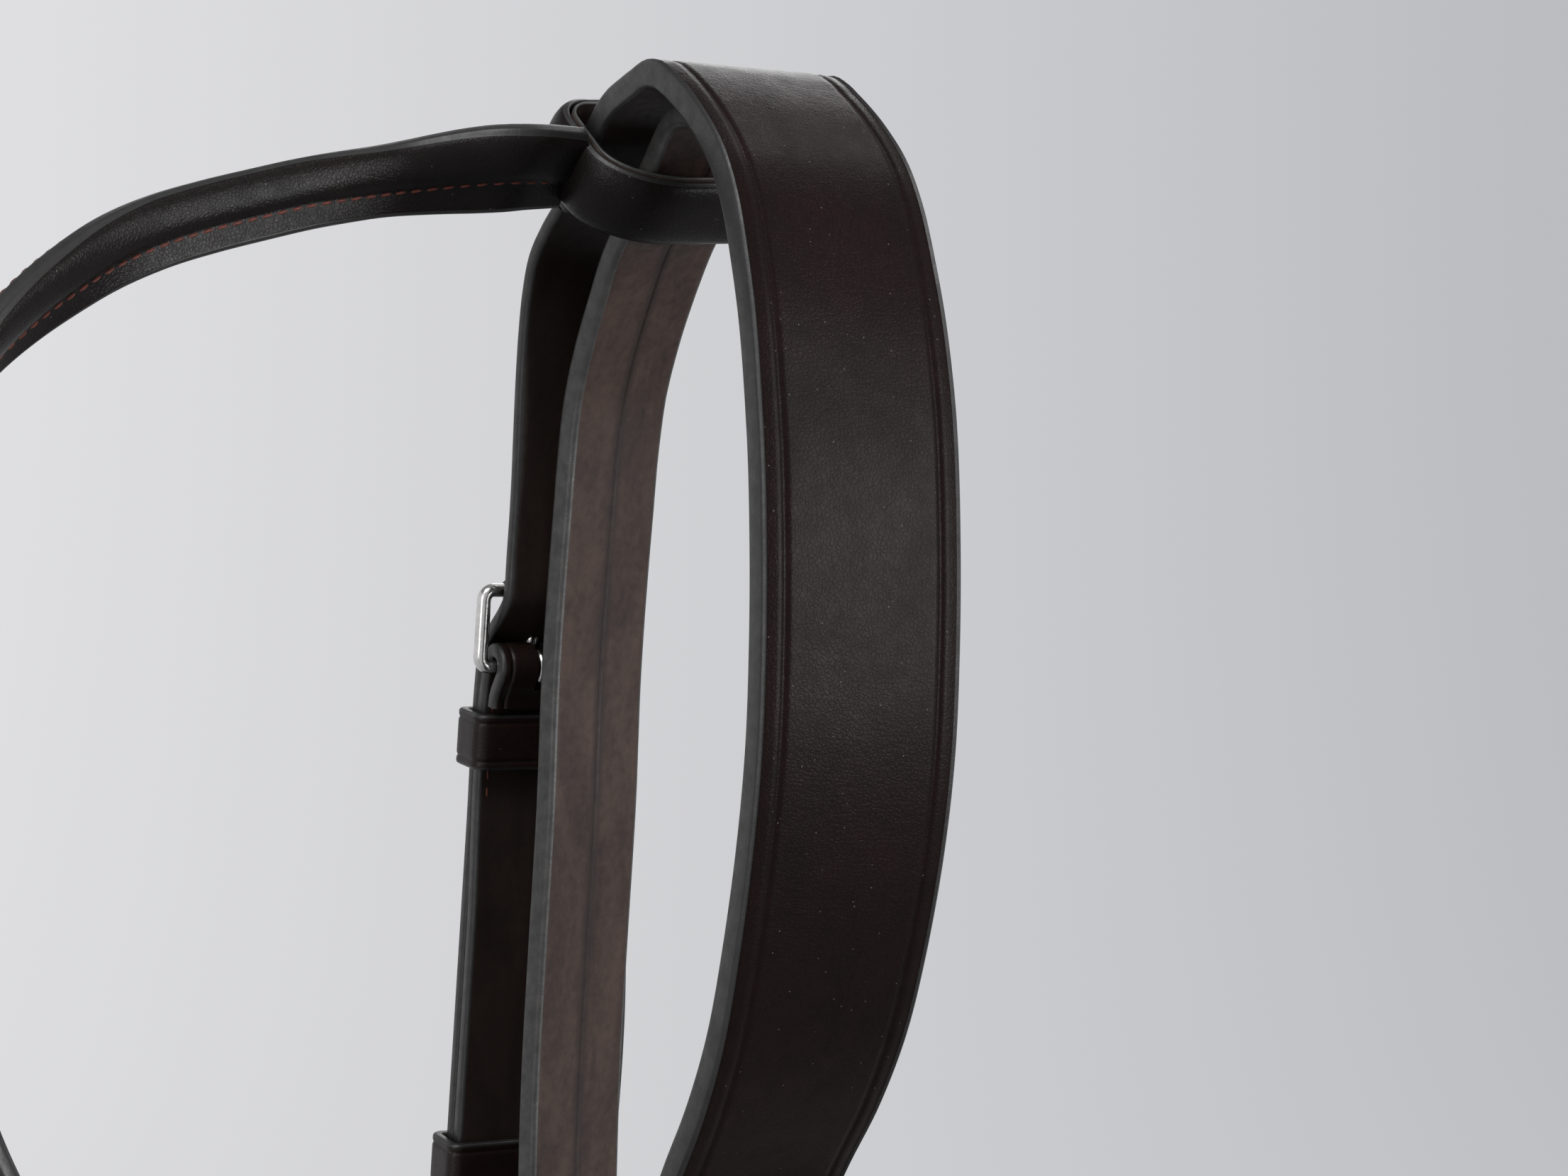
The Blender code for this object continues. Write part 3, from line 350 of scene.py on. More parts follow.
def fold_offset(b):
    """How far the anchor strap's middle lies from the bar's axis."""
    return b.bar + FIT_GAP + b.anchor / 2


def behind_offset(b):
    """How far the billet's middle lies behind the roller's axis."""
    return b.top + FIT_GAP + b.billet / 2


def over_offset(b):
    """How far the billet's middle lies in front of the bar, over the fold."""
    return fold_offset(b) + b.anchor / 2 + FIT_GAP + b.billet / 2


def arc(centre, radius, start, end, steps):
    """Points along an arc in a plane, both ends included."""
    turn = (end - start) / steps
    return [
        (centre[0] + radius * math.cos(start + turn * i), centre[1] + radius * math.sin(start + turn * i))
        for i in range(steps + 1)
    ]


def billet_slant(b):
    """The billet's angle from the strap's line where it crosses the frame."""
    return math.asin((behind_offset(b) + over_offset(b)) / b.reach)


def billet_path(b, tail):
    """Down behind the roller, slanting through the frame, and over the fold."""
    behind = behind_offset(b)
    over = over_offset(b)
    slant = billet_slant(b)
    path = arc((0, b.reach), behind, math.pi, math.pi + slant, 3)
    path += arc((0, 0), over, slant, 0, 4)
    path += [(over, -tail * share) for share in BILLET_TAIL_SHARES]
    return path


def anchor_path(b):
    """Up from the turned-back end, and round the bar to the main layer."""
    fold = fold_offset(b)
    inner = fold - b.anchor - FIT_GAP
    path = [(inner + (-fold - inner) * across, -TURN_BACK * down) for across, down in TURN_BACK_SHARES]
    return path + arc((0, 0), fold, math.pi, 0, 8)


def placed(place, path):
    """Points of (out, up) in a joint's frame, as points of the world."""
    return [place @ Vector((0, out, up)) for out, up in path]


def run_to_buckle(start, heading, place, b, count):
    """A route from a strap's start to the point above the roller where its joint's frame takes over."""
    top = place @ Vector((0, -behind_offset(b), b.reach))
    up = (place.to_3x3() @ UP).normalized()
    span = (top - start).length
    bend = span * BILLET_BEND_SHARE
    return smooth_route([start, start + heading * bend, top + up * bend, top], count)[:-1]


def strap_sides(points):
    """The width's direction along a strap over the poll."""
    crest = max(range(len(points)), key=lambda i: points[i].z)
    end = POLL_NEAR_SHARES[-1][1]
    sides = []
    for number, point in enumerate(points):
        drop = POLL_CENTRE_Z - point.z
        if number > crest:
            twist = POLL_CREST_TWIST + (OFF_TWIST - POLL_CREST_TWIST) * min(drop / POLL_OFF_DROP, 1)
        else:
            share = drop / POLL_NEAR_DROP
            settle = max(0, 1 - share / POLL_TWIST_SETTLE_SHARE)
            low = max(0, (min(share, end) - POLL_TWIST_LOW_SHARE) / (end - POLL_TWIST_LOW_SHARE))
            fade = max(0, 1 - max(0, share - end) / POLL_TWIST_FADE_SHARE)
            twist = POLL_CREST_TWIST * settle + POLL_LOW_TWIST * low**2 * fade
        sides.append(Vector((math.cos(twist), math.sin(twist), 0)))
    return sides


def hung(shares, spread, drop, top):
    """Points in the plane X = 0, at these shares of a spread sideways and of a drop from the top."""
    return [(0, spread * y, top - drop * z) for y, z in shares]


def poll_frames():
    """Centre line of the headpiece, from its near end over the crest to its off end."""
    near = hung(POLL_NEAR_SHARES[::-1], -POLL_NEAR_BULGE, POLL_NEAR_DROP, POLL_CENTRE_Z)
    off = hung(POLL_OFF_SHARES, POLL_OFF_SPREAD, POLL_OFF_DROP, POLL_CENTRE_Z)
    points = smooth_route(near + [(0, 0, POLL_CENTRE_Z)] + off, POLL_STATIONS)
    return stations(points, strap_sides(points))


def hanger_frames(poll):
    """Centre line of the headstrap: close under the headpiece on the near side, inside it on the off side."""
    crest = max(range(len(poll)), key=lambda i: poll[i][0].z)
    close = (POLL_THICKNESS + HANGER_THICKNESS) / 2 + FIT_GAP
    beneath = []
    for centre, _, out in poll[1:crest]:
        share = min((POLL_CENTRE_Z - centre.z) / POLL_NEAR_DROP, 1)
        beneath.append(centre - out * (close + (HANGER_NEAR_INSET - close) * math.sqrt(share)))
    low = HANGER_CENTRE_Z - HANGER_NEAR_DROP
    span = beneath[0].z - low
    tail = [(0, HANGER_NEAR_OUT, low + span * share) for share in HANGER_TAIL_SHARES]
    off = hung(HANGER_OFF_SHARES, HANGER_OFF_SPREAD, HANGER_OFF_DROP, HANGER_CENTRE_Z)
    points = smooth_route(tail + beneath[::2] + [(0, 0, HANGER_CENTRE_Z)] + off, HANGER_STATIONS)
    return stations(points, strap_sides(points))


def nose_frames(hanger):
    """Centre line of the nosepiece, forward from the headstrap's off end and back to its near end."""
    seat = HANGER_THICKNESS / 2 + NOSE_SEAT_GAP + NOSE_THICKNESS / 2
    off_y = hanger[-1][0].y + seat
    near_y = hanger[0][0].y - seat
    off_z = hanger[-1][0].z + NOSE_ABOVE_END
    near_z = hanger[0][0].z + NOSE_ABOVE_END
    over, down = near_y - off_y, near_z - off_z
    route = [(-NOSE_REACH * x, off_y + over * y, off_z + down * z) for x, y, z in NOSE_SHARES]
    points = smooth_route(route, NOSE_STATIONS)
    return stations(points, turning_sides(len(points), -UP, LEFT, NOSE_HELD))


def cheekpiece_path(b):
    """From the fold down to the bit's loop, and back up inside to the hook stud."""
    fold = fold_offset(b)
    far = fold - 2 * BIT_LOOP_RADIUS
    close = fold - b.anchor - FIT_GAP
    path = anchor_path(b) + [(fold, -CHEEK_LENGTH * share) for share in CHEEK_SHARES]
    path += arc((fold - BIT_LOOP_RADIUS, -CHEEK_LENGTH), BIT_LOOP_RADIUS, 0, -math.pi, 8)
    path += [(far + (close - far) * y, -CHEEK_LENGTH + BIT_RETURN * z) for y, z in BIT_RETURN_SHARES]
    return path


# Looks

GRAIN, EDGE, BACK = 0, 1, 2
DUST = (0.16, 0.145, 0.135)
DUST_SCALE = 400.0
PEBBLE_SHIFT = 0.0011
PEBBLE_CREASE = 0.22
WRINKLE_STRETCH = (0.42, 0.42, 1.0)
# Painted shade in the grain's creases, as a share of the dark colour
PAINTED_CREASE_SHADE = 0.35
ROUGH_SPREAD = 0.07
SMEAR_STRETCH = (1.6, 1.6, 0.55)
SEAM_DARK = 0.4
SCRATCH_STRETCH = (0.2, 1.0, 3.0)


class Look:
    """A material built from a few linked nodes."""

    def __init__(self, name):
        self.material = bpy.data.materials.new(name)
        self.material.use_nodes = True
        self.tree = self.material.node_tree
        self.shader = self.tree.nodes["Principled BSDF"]
        coordinates = self.node("ShaderNodeTexCoord").outputs
        self.place = coordinates["Object"]
        self.strap_place = coordinates["UV"]

    def feed(self, socket, value):
        """Link a socket's value into this input, or set a plain value or a colour on it."""
        if isinstance(value, bpy.types.NodeSocket):
            self.tree.links.new(value, socket)
        else:
            colour = socket.type == "RGBA" and len(value) == 3
            socket.default_value = (*value, 1) if colour else value

    def node(self, kind, inputs=None, **settings):
        made = self.tree.nodes.new(kind)
        for key, value in settings.items():
            setattr(made, key, value)
        for key, value in (inputs or {}).items():
            self.feed(made.inputs[key], value)
        return made

    def noise(self, scale, detail=3.0, rough=0.5, place=None, distortion=0.0, output="Fac"):
        inputs = {"Vector": place or self.place, "Scale": scale, "Detail": detail, "Roughness": rough}
        inputs["Distortion"] = distortion
        return self.node("ShaderNodeTexNoise", inputs).outputs[output]

    def cells(self, scale, feature, place=None):
        inputs = {"Vector": place or self.place, "Scale": scale}
        return self.node("ShaderNodeTexVoronoi", inputs, feature=feature).outputs["Distance"]

    def remap(self, value, low, high, to_low=0.0, to_high=1.0):
        inputs = {"Value": value, "From Min": low, "From Max": high, "To Min": to_low, "To Max": to_high}
        return self.node("ShaderNodeMapRange", inputs).outputs["Result"]

    def math(self, operation, a, b):
        return self.node("ShaderNodeMath", {0: a, 1: b}, operation=operation).outputs[0]

    def blend(self, *parts):
        """The sum of values, each times its weight."""
        total = None
        for value, weight in parts:
            weighed = self.math("MULTIPLY", value, weight)
            total = weighed if total is None else self.math("ADD", total, weighed)
        return total

    def mix(self, factor, a, b):
        made = self.node("ShaderNodeMix", data_type="RGBA")
        for key, kind, value in (("Factor", "VALUE", factor), ("A", "RGBA", a), ("B", "RGBA", b)):
            self.feed([s for s in made.inputs if s.name == key and s.type == kind][0], value)
        return [s for s in made.outputs if s.type == "RGBA"][0]

    def stretched(self, scale):
        return self.node("ShaderNodeMapping", {"Vector": self.place, "Scale": scale}).outputs["Vector"]

    def bump(self, height, strength, distance):
        inputs = {"Height": height, "Strength": strength, "Distance": distance}
        made = self.node("ShaderNodeBump", inputs)
        self.tree.links.new(made.outputs["Normal"], self.shader.inputs["Normal"])

    def set(self, **values):
        for key, value in values.items():
            self.feed(self.shader.inputs[key.replace("_", " ")], value)


def grain_leather(name, dark, light, rough=0.40, cell=1250.0, depth=0.00007, shine=0.20):
    """Smooth bridle leather: fine pebbles parted by creases, with painted shade in the creases, soft
    blotches, dust and a waxed sheen.
    """
    look = Look(name)
    drift = look.noise(420.0, 2.0, output="Color")
    shift = look.node("ShaderNodeVectorMath", {0: drift, "Scale": PEBBLE_SHIFT}, operation="SCALE").outputs[0]
    bent = look.node("ShaderNodeVectorMath", {0: look.place, 1: shift}, operation="ADD").outputs[0]
    pebble = look.remap(look.cells(cell, "DISTANCE_TO_EDGE", bent), 0.0, PEBBLE_CREASE)
    fine = look.noise(2600.0, 3.0, 0.6)
    wrinkle = look.noise(1150.0, 3.0, 0.6, look.stretched(WRINKLE_STRETCH), 0.5)
    blotch = look.noise(46.0, 4.0, 0.55)
    worn = look.noise(230.0, 4.0, 0.6)
    tone = look.blend((blotch, 0.55), (worn, 0.45))
    colour = look.mix(look.remap(tone, 0.34, 0.66), dark, light)
    # Painted shade: the colour darkens towards the creases between the pebbles
    colour = look.mix(look.remap(pebble, 0.0, 1.0, 0.35, 0.0), colour, tuple(c * PAINTED_CREASE_SHADE for c in dark))
    speck = look.remap(look.cells(DUST_SCALE, "F1"), 0.035, 0.060, 0.8, 0.0)
    look.set(Base_Color=look.mix(speck, colour, DUST))
    look.set(Roughness=look.remap(tone, 0.3, 0.7, rough + ROUGH_SPREAD, rough - ROUGH_SPREAD))
    look.set(Specular_IOR_Level=shine, Coat_Weight=0.02, Coat_Roughness=0.28)
    look.bump(look.blend((pebble, 0.6), (fine, 0.4), (worn, 0.8), (wrinkle, 1.3)), 0.55, depth)
    return look.material


def lining_leather(name, dark, light, seam=0.0, shine=0.25):
    """The flesh side or a soft lining: matter, scuffed, with long smears.

    A seam is a darker stripe along its middle, this far to each side.
    """
    look = Look(name)
    smear = look.noise(60.0, 5.0, 0.62, look.stretched(SMEAR_STRETCH), 0.6)
    scuff = look.noise(520.0, 5.0, 0.65)
    colour = look.mix(look.remap(look.blend((smear, 0.65), (scuff, 0.35)), 0.36, 0.64), dark, light)
    if seam:
        across = look.node("ShaderNodeSeparateXYZ", {"Vector": look.strap_place}).outputs["X"]
        wander = look.math("MULTIPLY", look.noise(150.0), seam)
        off_middle = look.math("SUBTRACT", look.math("ABSOLUTE", across, 0.0), wander)
        inside = look.remap(off_middle, 0.0, seam, 0.65, 0.0)
        colour = look.mix(inside, colour, tuple(c * SEAM_DARK for c in dark))
    look.set(Base_Color=colour, Specular_IOR_Level=shine)
    look.set(Roughness=look.remap(scuff, 0.3, 0.7, 0.58, 0.44))
    look.bump(look.blend((scuff, 0.7), (look.noise(2100.0, 3.0, 0.6), 0.5)), 0.5, 0.00008)
    return look.material


def edge_paint(name, dark, light):
    """Painted and rubbed strap edges."""
    look = Look(name)
    rubbed = look.noise(340.0, 5.0, 0.65)
    look.set(Base_Color=look.mix(look.remap(rubbed, 0.36, 0.68), dark, light))
    look.set(Roughness=look.remap(rubbed, 0.3, 0.7, 0.50, 0.36), Specular_IOR_Level=0.5)
    look.bump(look.math("ADD", rubbed, look.noise(1500.0, 3.0, 0.6)), 0.5, 0.00009)
    return look.material


def thread(name, dark, light):
    """Waxed thread, its strands showing as a fine bump."""
    look = Look(name)
    look.set(Base_Color=look.mix(look.noise(900.0, 2.0), dark, light), Roughness=0.6, Specular_IOR_Level=0.35)
    look.bump(look.noise(3600.0, 2.0), 0.5, 0.00008)
    return look.material


def polished_steel(name, dark, light):
    """Bright stainless steel with a few fine rubs."""
    look = Look(name)
    rub = look.noise(260.0, 4.0, 0.6)
    scratch = look.noise(900.0, 3.0, 0.6, look.stretched(SCRATCH_STRETCH))
    look.set(Base_Color=look.mix(look.remap(rub, 0.35, 0.65), dark, light), Metallic=1.0)
    look.set(Roughness=look.remap(scratch, 0.3, 0.7, 0.14, 0.26))
    look.bump(scratch, 0.12, 0.00003)
    return look.material


LEATHER = grain_leather("bridle_leather", (0.0072, 0.0034, 0.0032), (0.0150, 0.0074, 0.0070), shine=0.07)
NARROW_LEATHER = grain_leather(
    "strap_leather", (0.0100, 0.0055, 0.0050), (0.0200, 0.0112, 0.0098), 0.38, 1500.0, 0.00005,
)
PADDED = grain_leather(
    "padded_leather", (0.0060, 0.0046, 0.0044), (0.0120, 0.0088, 0.0084), 0.36, 1400.0, 0.00008, 0.13,
)
LINING = lining_leather("lining_leather", (0.040, 0.028, 0.0245), (0.110, 0.086, 0.077))
LINED = lining_leather("headstrap_lining", (0.017, 0.0084, 0.0060), (0.070, 0.0425, 0.0330), 0.0013, 0.32)
FLESH = lining_leather("flesh_side", (0.012, 0.0075, 0.0060), (0.030, 0.020, 0.0165))
PAINT = edge_paint("edge_paint", (0.0085, 0.0085, 0.0090), (0.022, 0.021, 0.021))
PALE_EDGE = edge_paint("rubbed_edge", (0.030, 0.029, 0.028), (0.070, 0.067, 0.065))
RED_THREAD = thread("red_thread", (0.085, 0.020, 0.013), (0.170, 0.045, 0.030))
DARK_THREAD = thread("dark_thread", (0.030, 0.016, 0.012), (0.075, 0.043, 0.033))
STEEL = polished_steel("buckle_steel", (0.55, 0.54, 0.53), (0.74, 0.73, 0.71))

# Building

SHARP_ANGLE = math.radians(50)


def grid_faces(rows, size, joined=False, closed=True, first=0):
    """Faces between rows of points; joined adds the last row to the first, closed makes each row a ring."""
    faces = []
    for i in range(rows if joined else rows - 1):
        here, there = first + i * size, first + (i + 1) % rows * size
        for j in range(size if closed else size - 1):
            k = (j + 1) % size
            faces.append((here + j, here + k, there + k, there + j))
    return faces


def end_faces(rows, size, first=0):
    """The faces that close both ends of rows that are rings."""
    last = first + (rows - 1) * size
    return [tuple(range(first, first + size)), tuple(range(last, last + size))]


def face_outward(mesh, weld=0.0):
    """Turn all faces outward, after joining points that lie this close."""
    bm = bmesh.new()
    bm.from_mesh(mesh)
    if weld:
        bmesh.ops.remove_doubles(bm, verts=bm.verts, dist=weld)
    bmesh.ops.recalc_face_normals(bm, faces=bm.faces)
    bm.to_mesh(mesh)
    bm.free()


def piece(
    name, verts, faces, looks, zones=None, strap_uv=None, body=STRAPS, sharp=SHARP_ANGLE,
):
    """A mesh object from arrays, riding on a CAD body."""
    mesh = bpy.data.meshes.new(name)
    mesh.from_pydata([tuple(v) for v in verts], [], faces)
    for look in looks:
        mesh.materials.append(look)
    if zones is not None:
        mesh.polygons.foreach_set("material_index", zones)
    if strap_uv is not None:
        layer = mesh.uv_layers.new(name="strap")
        index = np.empty(len(mesh.loops), dtype=np.int64)
        mesh.loops.foreach_get("vertex_index", index)
        layer.data.foreach_set("uv", np.asarray(strap_uv, dtype=np.float32)[index].ravel())
    face_outward(mesh)
    mesh.shade_smooth()
    mesh.set_sharp_from_angle(angle=sharp)
    thing = bpy.data.objects.new(name, mesh)
    bpy.context.scene.collection.objects.link(thing)
    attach(thing, body)
    return thing


EDGE_RADIUS = 0.0009
EDGE_STEPS = 4
SECTION_FINENESS = 0.0011
CREASE_DEPTH = 0.00028
CREASE_REACH = 0.00034
CREASE_STEPS = (-2.4, -1.5, -0.9, -0.45, 0.0, 0.45, 0.9, 1.5, 2.4)
CROWN_POWERS = (2.6, 0.62)
SEAM_DEPTH = 0.00022
SEAM_REACH = 0.00026


def section(
    width, thickness, edge=EDGE_RADIUS, creases=(), depth=0.0, crown=0.0, margin=0.0,
    fine=SECTION_FINENESS, back=(), reach=CREASE_REACH, roll=0.0,
):
    """A strap's closed section: points of (across, out), and the part that the stretch after each belongs to.

    Depth and reach shape the creases, back places seams on the other side, a crown ends this margin
    from the edge, and roll is how far the leather outside the creases falls away to the edge.
    """
    half, thick = width / 2, thickness / 2
    flat = half - edge
    stops = list(np.linspace(-flat, flat, max(4, int(2 * flat / fine))))
    for place in [*creases, *back]:
        for step in CREASE_STEPS:
            stops += [place + step * reach, -place + step * reach]
    stops = sorted({round(s, 6) for s in stops if abs(s) <= flat + 1e-9})

    def height(a):
        rise = 0.0
        if crown:
            share = min(abs(a) / (half - margin), 1.0)
            rise = crown * (1 - share ** CROWN_POWERS[0]) ** CROWN_POWERS[1]
        for place in creases:
            rise -= depth * math.exp(-(((abs(a) - place) / reach) ** 2))
            rise -= roll * max(0.0, (abs(a) - place) / (half - place)) ** 2
        return rise

    def corner(side, level, quarter):
        start = quarter * math.pi / 2
        return arc((side * flat, level * (thick - edge)), edge, start, start + math.pi / 2, EDGE_STEPS)

    points = [(a, thick + height(a)) for a in reversed(stops)]
    parts = [GRAIN] * (len(points) - 1)
    points += corner(-1, 1, 1)[1:] + corner(-1, -1, 2)
    parts += [EDGE] * (len(points) - 1 - len(parts))
    for a in stops[1:-1]:
        dip = sum(SEAM_DEPTH * math.exp(-(((abs(a) - place) / SEAM_REACH) ** 2)) for place in back)
        points.append((a, -thick + dip))
    parts += [BACK] * (len(points) - len(parts))
    points += corner(1, -1, 3) + corner(1, 1, 0)[:-1]
    parts += [EDGE] * (len(points) - len(parts))
    return np.array(points), parts


def tip_shares(lengths, tip):
    """Full width, narrowing over the last length to a blunt point."""
    shares = []
    for value in lengths:
        t = min((lengths[-1] - value) / tip, 1)
        shares.append(TIP_NARROW_SHARE + (1 - TIP_NARROW_SHARE) * math.sqrt(max(0.0, 1 - (1 - t) ** 2)))
    return shares


def band(name, frames, shape, looks=None, widths=None, closed=False, body=STRAPS):
    """A strap drawn along its frames with a detailed section."""
    points, parts = shape
    looks = looks or [NARROW_LEATHER, PAINT, FLESH]
    centres = np.array([tuple(f[0]) for f in frames])
    across = np.array([tuple(f[1]) for f in frames])
    out = np.array([tuple(f[2]) for f in frames])
    widths = np.ones(len(frames)) if widths is None else np.array(widths)
    a = points[:, 0][None, :] * widths[:, None]
    o = points[:, 1][None, :, None]
    verts = centres[:, None] + across[:, None] * a[..., None] + out[:, None] * o
    run = np.array(lengths_along(frames))
    count, size = a.shape
    uv = np.stack([a, np.repeat(run[:, None], size, axis=1)], axis=-1)
    faces = grid_faces(count, size, joined=closed)
    zones = parts * (len(faces) // size)
    if not closed:
        faces += end_faces(count, size)
        zones += [EDGE, EDGE]
    return piece(name, verts.reshape(-1, 3), faces, looks, zones, uv.reshape(-1, 2), body)


STITCH_PITCH = 0.0031
STITCH_RADIUS = 0.00030
STITCH_SLANT = 0.24
STITCH_HALF_SHARE = 0.40
STITCH_RINGS = 7
STITCH_CORNERS = 6
STITCH_BOW_POWER = 2.4
STITCH_SUNK = 0.9
STITCH_RISE = 0.95
STITCH_THIN_SHARE = 0.45
STITCH_FLAT_SHARE = 0.85
STITCH_END_SHARE = 0.06


def stitch_row(
    name, frames, a, o, start, stop, pitch=STITCH_PITCH, look=None, side=1, size=STITCH_RADIUS,
):
    """Thread along a strap, each stitch sunk at its ends.

    It lies a across and o above the middle on the grain side, or o below it for side -1.
    """
    verts, faces = [], []
    number = int((stop - start) / pitch)
    for i in range(number):
        middle = start + (i + 0.5) * (stop - start) / number
        low = frame_at(frames, middle - STITCH_HALF_SHARE * pitch)
        high = frame_at(frames, middle + STITCH_HALF_SHARE * pitch)
        tilt = STITCH_SLANT * size
        first = len(verts)
        for ring in range(STITCH_RINGS):
            t = ring / (STITCH_RINGS - 1)
            bow = 1 - abs(2 * t - 1) ** STITCH_BOW_POWER
            swell = math.sqrt(math.sin(math.pi * min(max(t, STITCH_END_SHARE), 1 - STITCH_END_SHARE)))
            thick = size * (STITCH_THIN_SHARE + (1 - STITCH_THIN_SHARE) * swell)
            centre = low[0].lerp(high[0], t)
            wide = low[1].lerp(high[1], t)
            face = low[2].lerp(high[2], t) * side
            rise = o + size * (STITCH_RISE * bow - STITCH_SUNK)
            spot = centre + wide * (a + tilt * (2 * t - 1)) + face * rise
            for corner in range(STITCH_CORNERS):
                angle = 2 * math.pi * corner / STITCH_CORNERS
                deep = thick * STITCH_FLAT_SHARE * math.sin(angle)
                verts.append(spot + wide * (thick * math.cos(angle)) + face * deep)
        faces += grid_faces(STITCH_RINGS, STITCH_CORNERS, first=first)
        faces += end_faces(STITCH_RINGS, STITCH_CORNERS, first)
    return piece(name, verts, faces, [look or DARK_THREAD])


def cut(thing, place, size, round_hole=True):
    """Cut a hole: a cylinder along the place's Z, of the given full sizes, or a box."""
    bm = bmesh.new()
    if round_hole:
        bmesh.ops.create_cone(bm, cap_ends=True, segments=28, radius1=0.5, radius2=0.5, depth=1)
    else:
        bmesh.ops.create_cube(bm, size=1)
    bmesh.ops.scale(bm, vec=size, verts=bm.verts)
    for face in bm.faces:
        face.material_index = EDGE
    mesh = bpy.data.meshes.new("cutter")
    bm.to_mesh(mesh)
    bm.free()
    cutter = bpy.data.objects.new("cutter", mesh)
    bpy.context.scene.collection.objects.link(cutter)
    cutter.matrix_world = place
    modifier = thing.modifiers.new("Hole", "BOOLEAN")
    modifier.object = cutter
    modifier.operation = "DIFFERENCE"
    modifier.solver = "EXACT"
    bpy.context.view_layer.update()
    shaped = bpy.data.meshes.new_from_object(thing.evaluated_get(bpy.context.evaluated_depsgraph_get()))
    old = thing.data
    thing.modifiers.clear()
    thing.data = shaped
    shaped.name = old.name
    bpy.data.meshes.remove(old)
    bpy.data.objects.remove(cutter)
    shaped.set_sharp_from_angle(angle=SHARP_ANGLE)


def tube(name, points, radii, place, closed=False, corners=18, body=STRAPS, normal=LEFT):
    """A metal bar through points in the plane with this normal, with its radius at each."""
    path = [Vector(p) for p in points]
    count = len(path)
    verts = []
    for i, here in enumerate(path):
        if closed:
            ahead = (path[(i + 1) % count] - path[i - 1]).normalized()
        else:
            ahead = (path[min(i + 1, count - 1)] - path[max(i - 1, 0)]).normalized()
        wide = ahead.cross(normal).normalized()
        deep = wide.cross(ahead).normalized()
        for corner in range(corners):
            angle = 2 * math.pi * corner / corners
            offset = wide * (radii[i] * math.cos(angle)) + deep * (radii[i] * math.sin(angle))
            verts.append(place @ (here + offset))
    faces = grid_faces(count, corners, joined=closed)
    if not closed:
        faces += end_faces(count, corners)
    return piece(name, verts, faces, [STEEL], body=body)


TURNED_STEPS = 48
TURNED_SHARP_ANGLE = math.radians(40)
WELD = 0.000002


def turned(name, profile, place, closed=False, body=STRAPS, sharp=TURNED_SHARP_ANGLE):
    """A round piece from its profile of (radius, height); a closed profile makes a ring."""
    verts = []
    for step in range(TURNED_STEPS):
        angle = 2 * math.pi * step / TURNED_STEPS
        for radius, height in profile:
            verts.append(place @ Vector((radius * math.cos(angle), radius * math.sin(angle), height)))
    faces = grid_faces(TURNED_STEPS, len(profile), joined=True, closed=closed)
    thing = piece(name, verts, faces, [STEEL], body=body, sharp=sharp)
    if not closed:
        face_outward(thing.data, WELD)
    return thing


QUARTERS = ((1, 1, 0), (-1, 1, 90), (-1, -1, 180), (1, -1, 270))


def rounded_path(half_x, half_y, corner, corner_steps=6, fine=0.0015):
    """Points round a rectangle with rounded corners, counter-clockwise, with the outward normals."""
    points = []
    for sx, sy, start in QUARTERS:
        for step in range(corner_steps + 1):
            angle = math.radians(start + 90 * step / corner_steps)
            normal = (math.cos(angle), math.sin(angle))
            x = sx * (half_x - corner) + corner * normal[0]
            y = sy * (half_y - corner) + corner * normal[1]
            points.append((x, y, normal))
    filled = []
    for here, there in zip(points, points[1:] + points[:1]):
        filled.append(here)
        extra = int(math.dist(here[:2], there[:2]) / fine)
        for i in range(1, extra):
            x, y = (here[axis] + (there[axis] - here[axis]) * (i / extra) for axis in (0, 1))
            filled.append((x, y, here[2]))
    return filled


def ring_frames(spot, path):
    """Frames along a level path of (x, y, outward normal) in the spot's own directions."""
    turn = spot.to_3x3()
    up = (turn @ UP).normalized()
    frames = []
    for x, y, (nx, ny) in path:
        frames.append((spot @ Vector((x, y, 0)), up, (turn @ Vector((nx, ny, 0))).normalized()))
    return frames


RING_EDGE = 0.0006
RING_CORNER = 0.0005
RING_CREASE_INSET = 0.0017
RING_CREASE_DEPTH = 0.00022


def leather_ring(name, node, place, inner, back, front, height, below, body=STRAPS):
    """A keeper round layers that lie from back to front, its middle this far below the place."""
    thick = KEEPER_THICKNESS / 2
    spot = place @ Matrix.Translation((0, (front + back) / 2, -below))
    path = rounded_path(inner / 2 + thick, (front - back) / 2 + thick, RING_CORNER + thick)
    creases = (height / 2 - RING_CREASE_INSET,)
    shape = section(height, KEEPER_THICKNESS, RING_EDGE, creases, RING_CREASE_DEPTH, fine=0.0012)
    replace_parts(band(name, ring_frames(spot, path), shape, closed=True, body=body), node)


# Straps and their thread

STRAP_STEP = 0.0018
STRAP_CREASE_INSET = 0.0024
FOLD_THREAD_INSET = 0.0021
FOLD_THREAD_START = 0.004
FOLD_THREAD_SHORT = 0.0055
FOLD_THREAD_LONG = 0.024
CUT_ROOM = 0.002
QUARTER_TURN = Matrix.Rotation(math.pi / 2, 4, "X")


def strap(name, points, side, width, thickness, tip=None, edge=EDGE_RADIUS):
    """A plain creased strap, standing for the CAD node of its name."""
    sides = [side] * len(points) if isinstance(side, Vector) else side
    frames = refined(stations(points, sides), STRAP_STEP)
    widths = tip_shares(lengths_along(frames), tip) if tip else None
    shape = section(width, thickness, edge, (width / 2 - STRAP_CREASE_INSET,), CREASE_DEPTH)
    thing = band(name, frames, shape, widths=widths)
    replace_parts(thing, name)
    return thing, frames


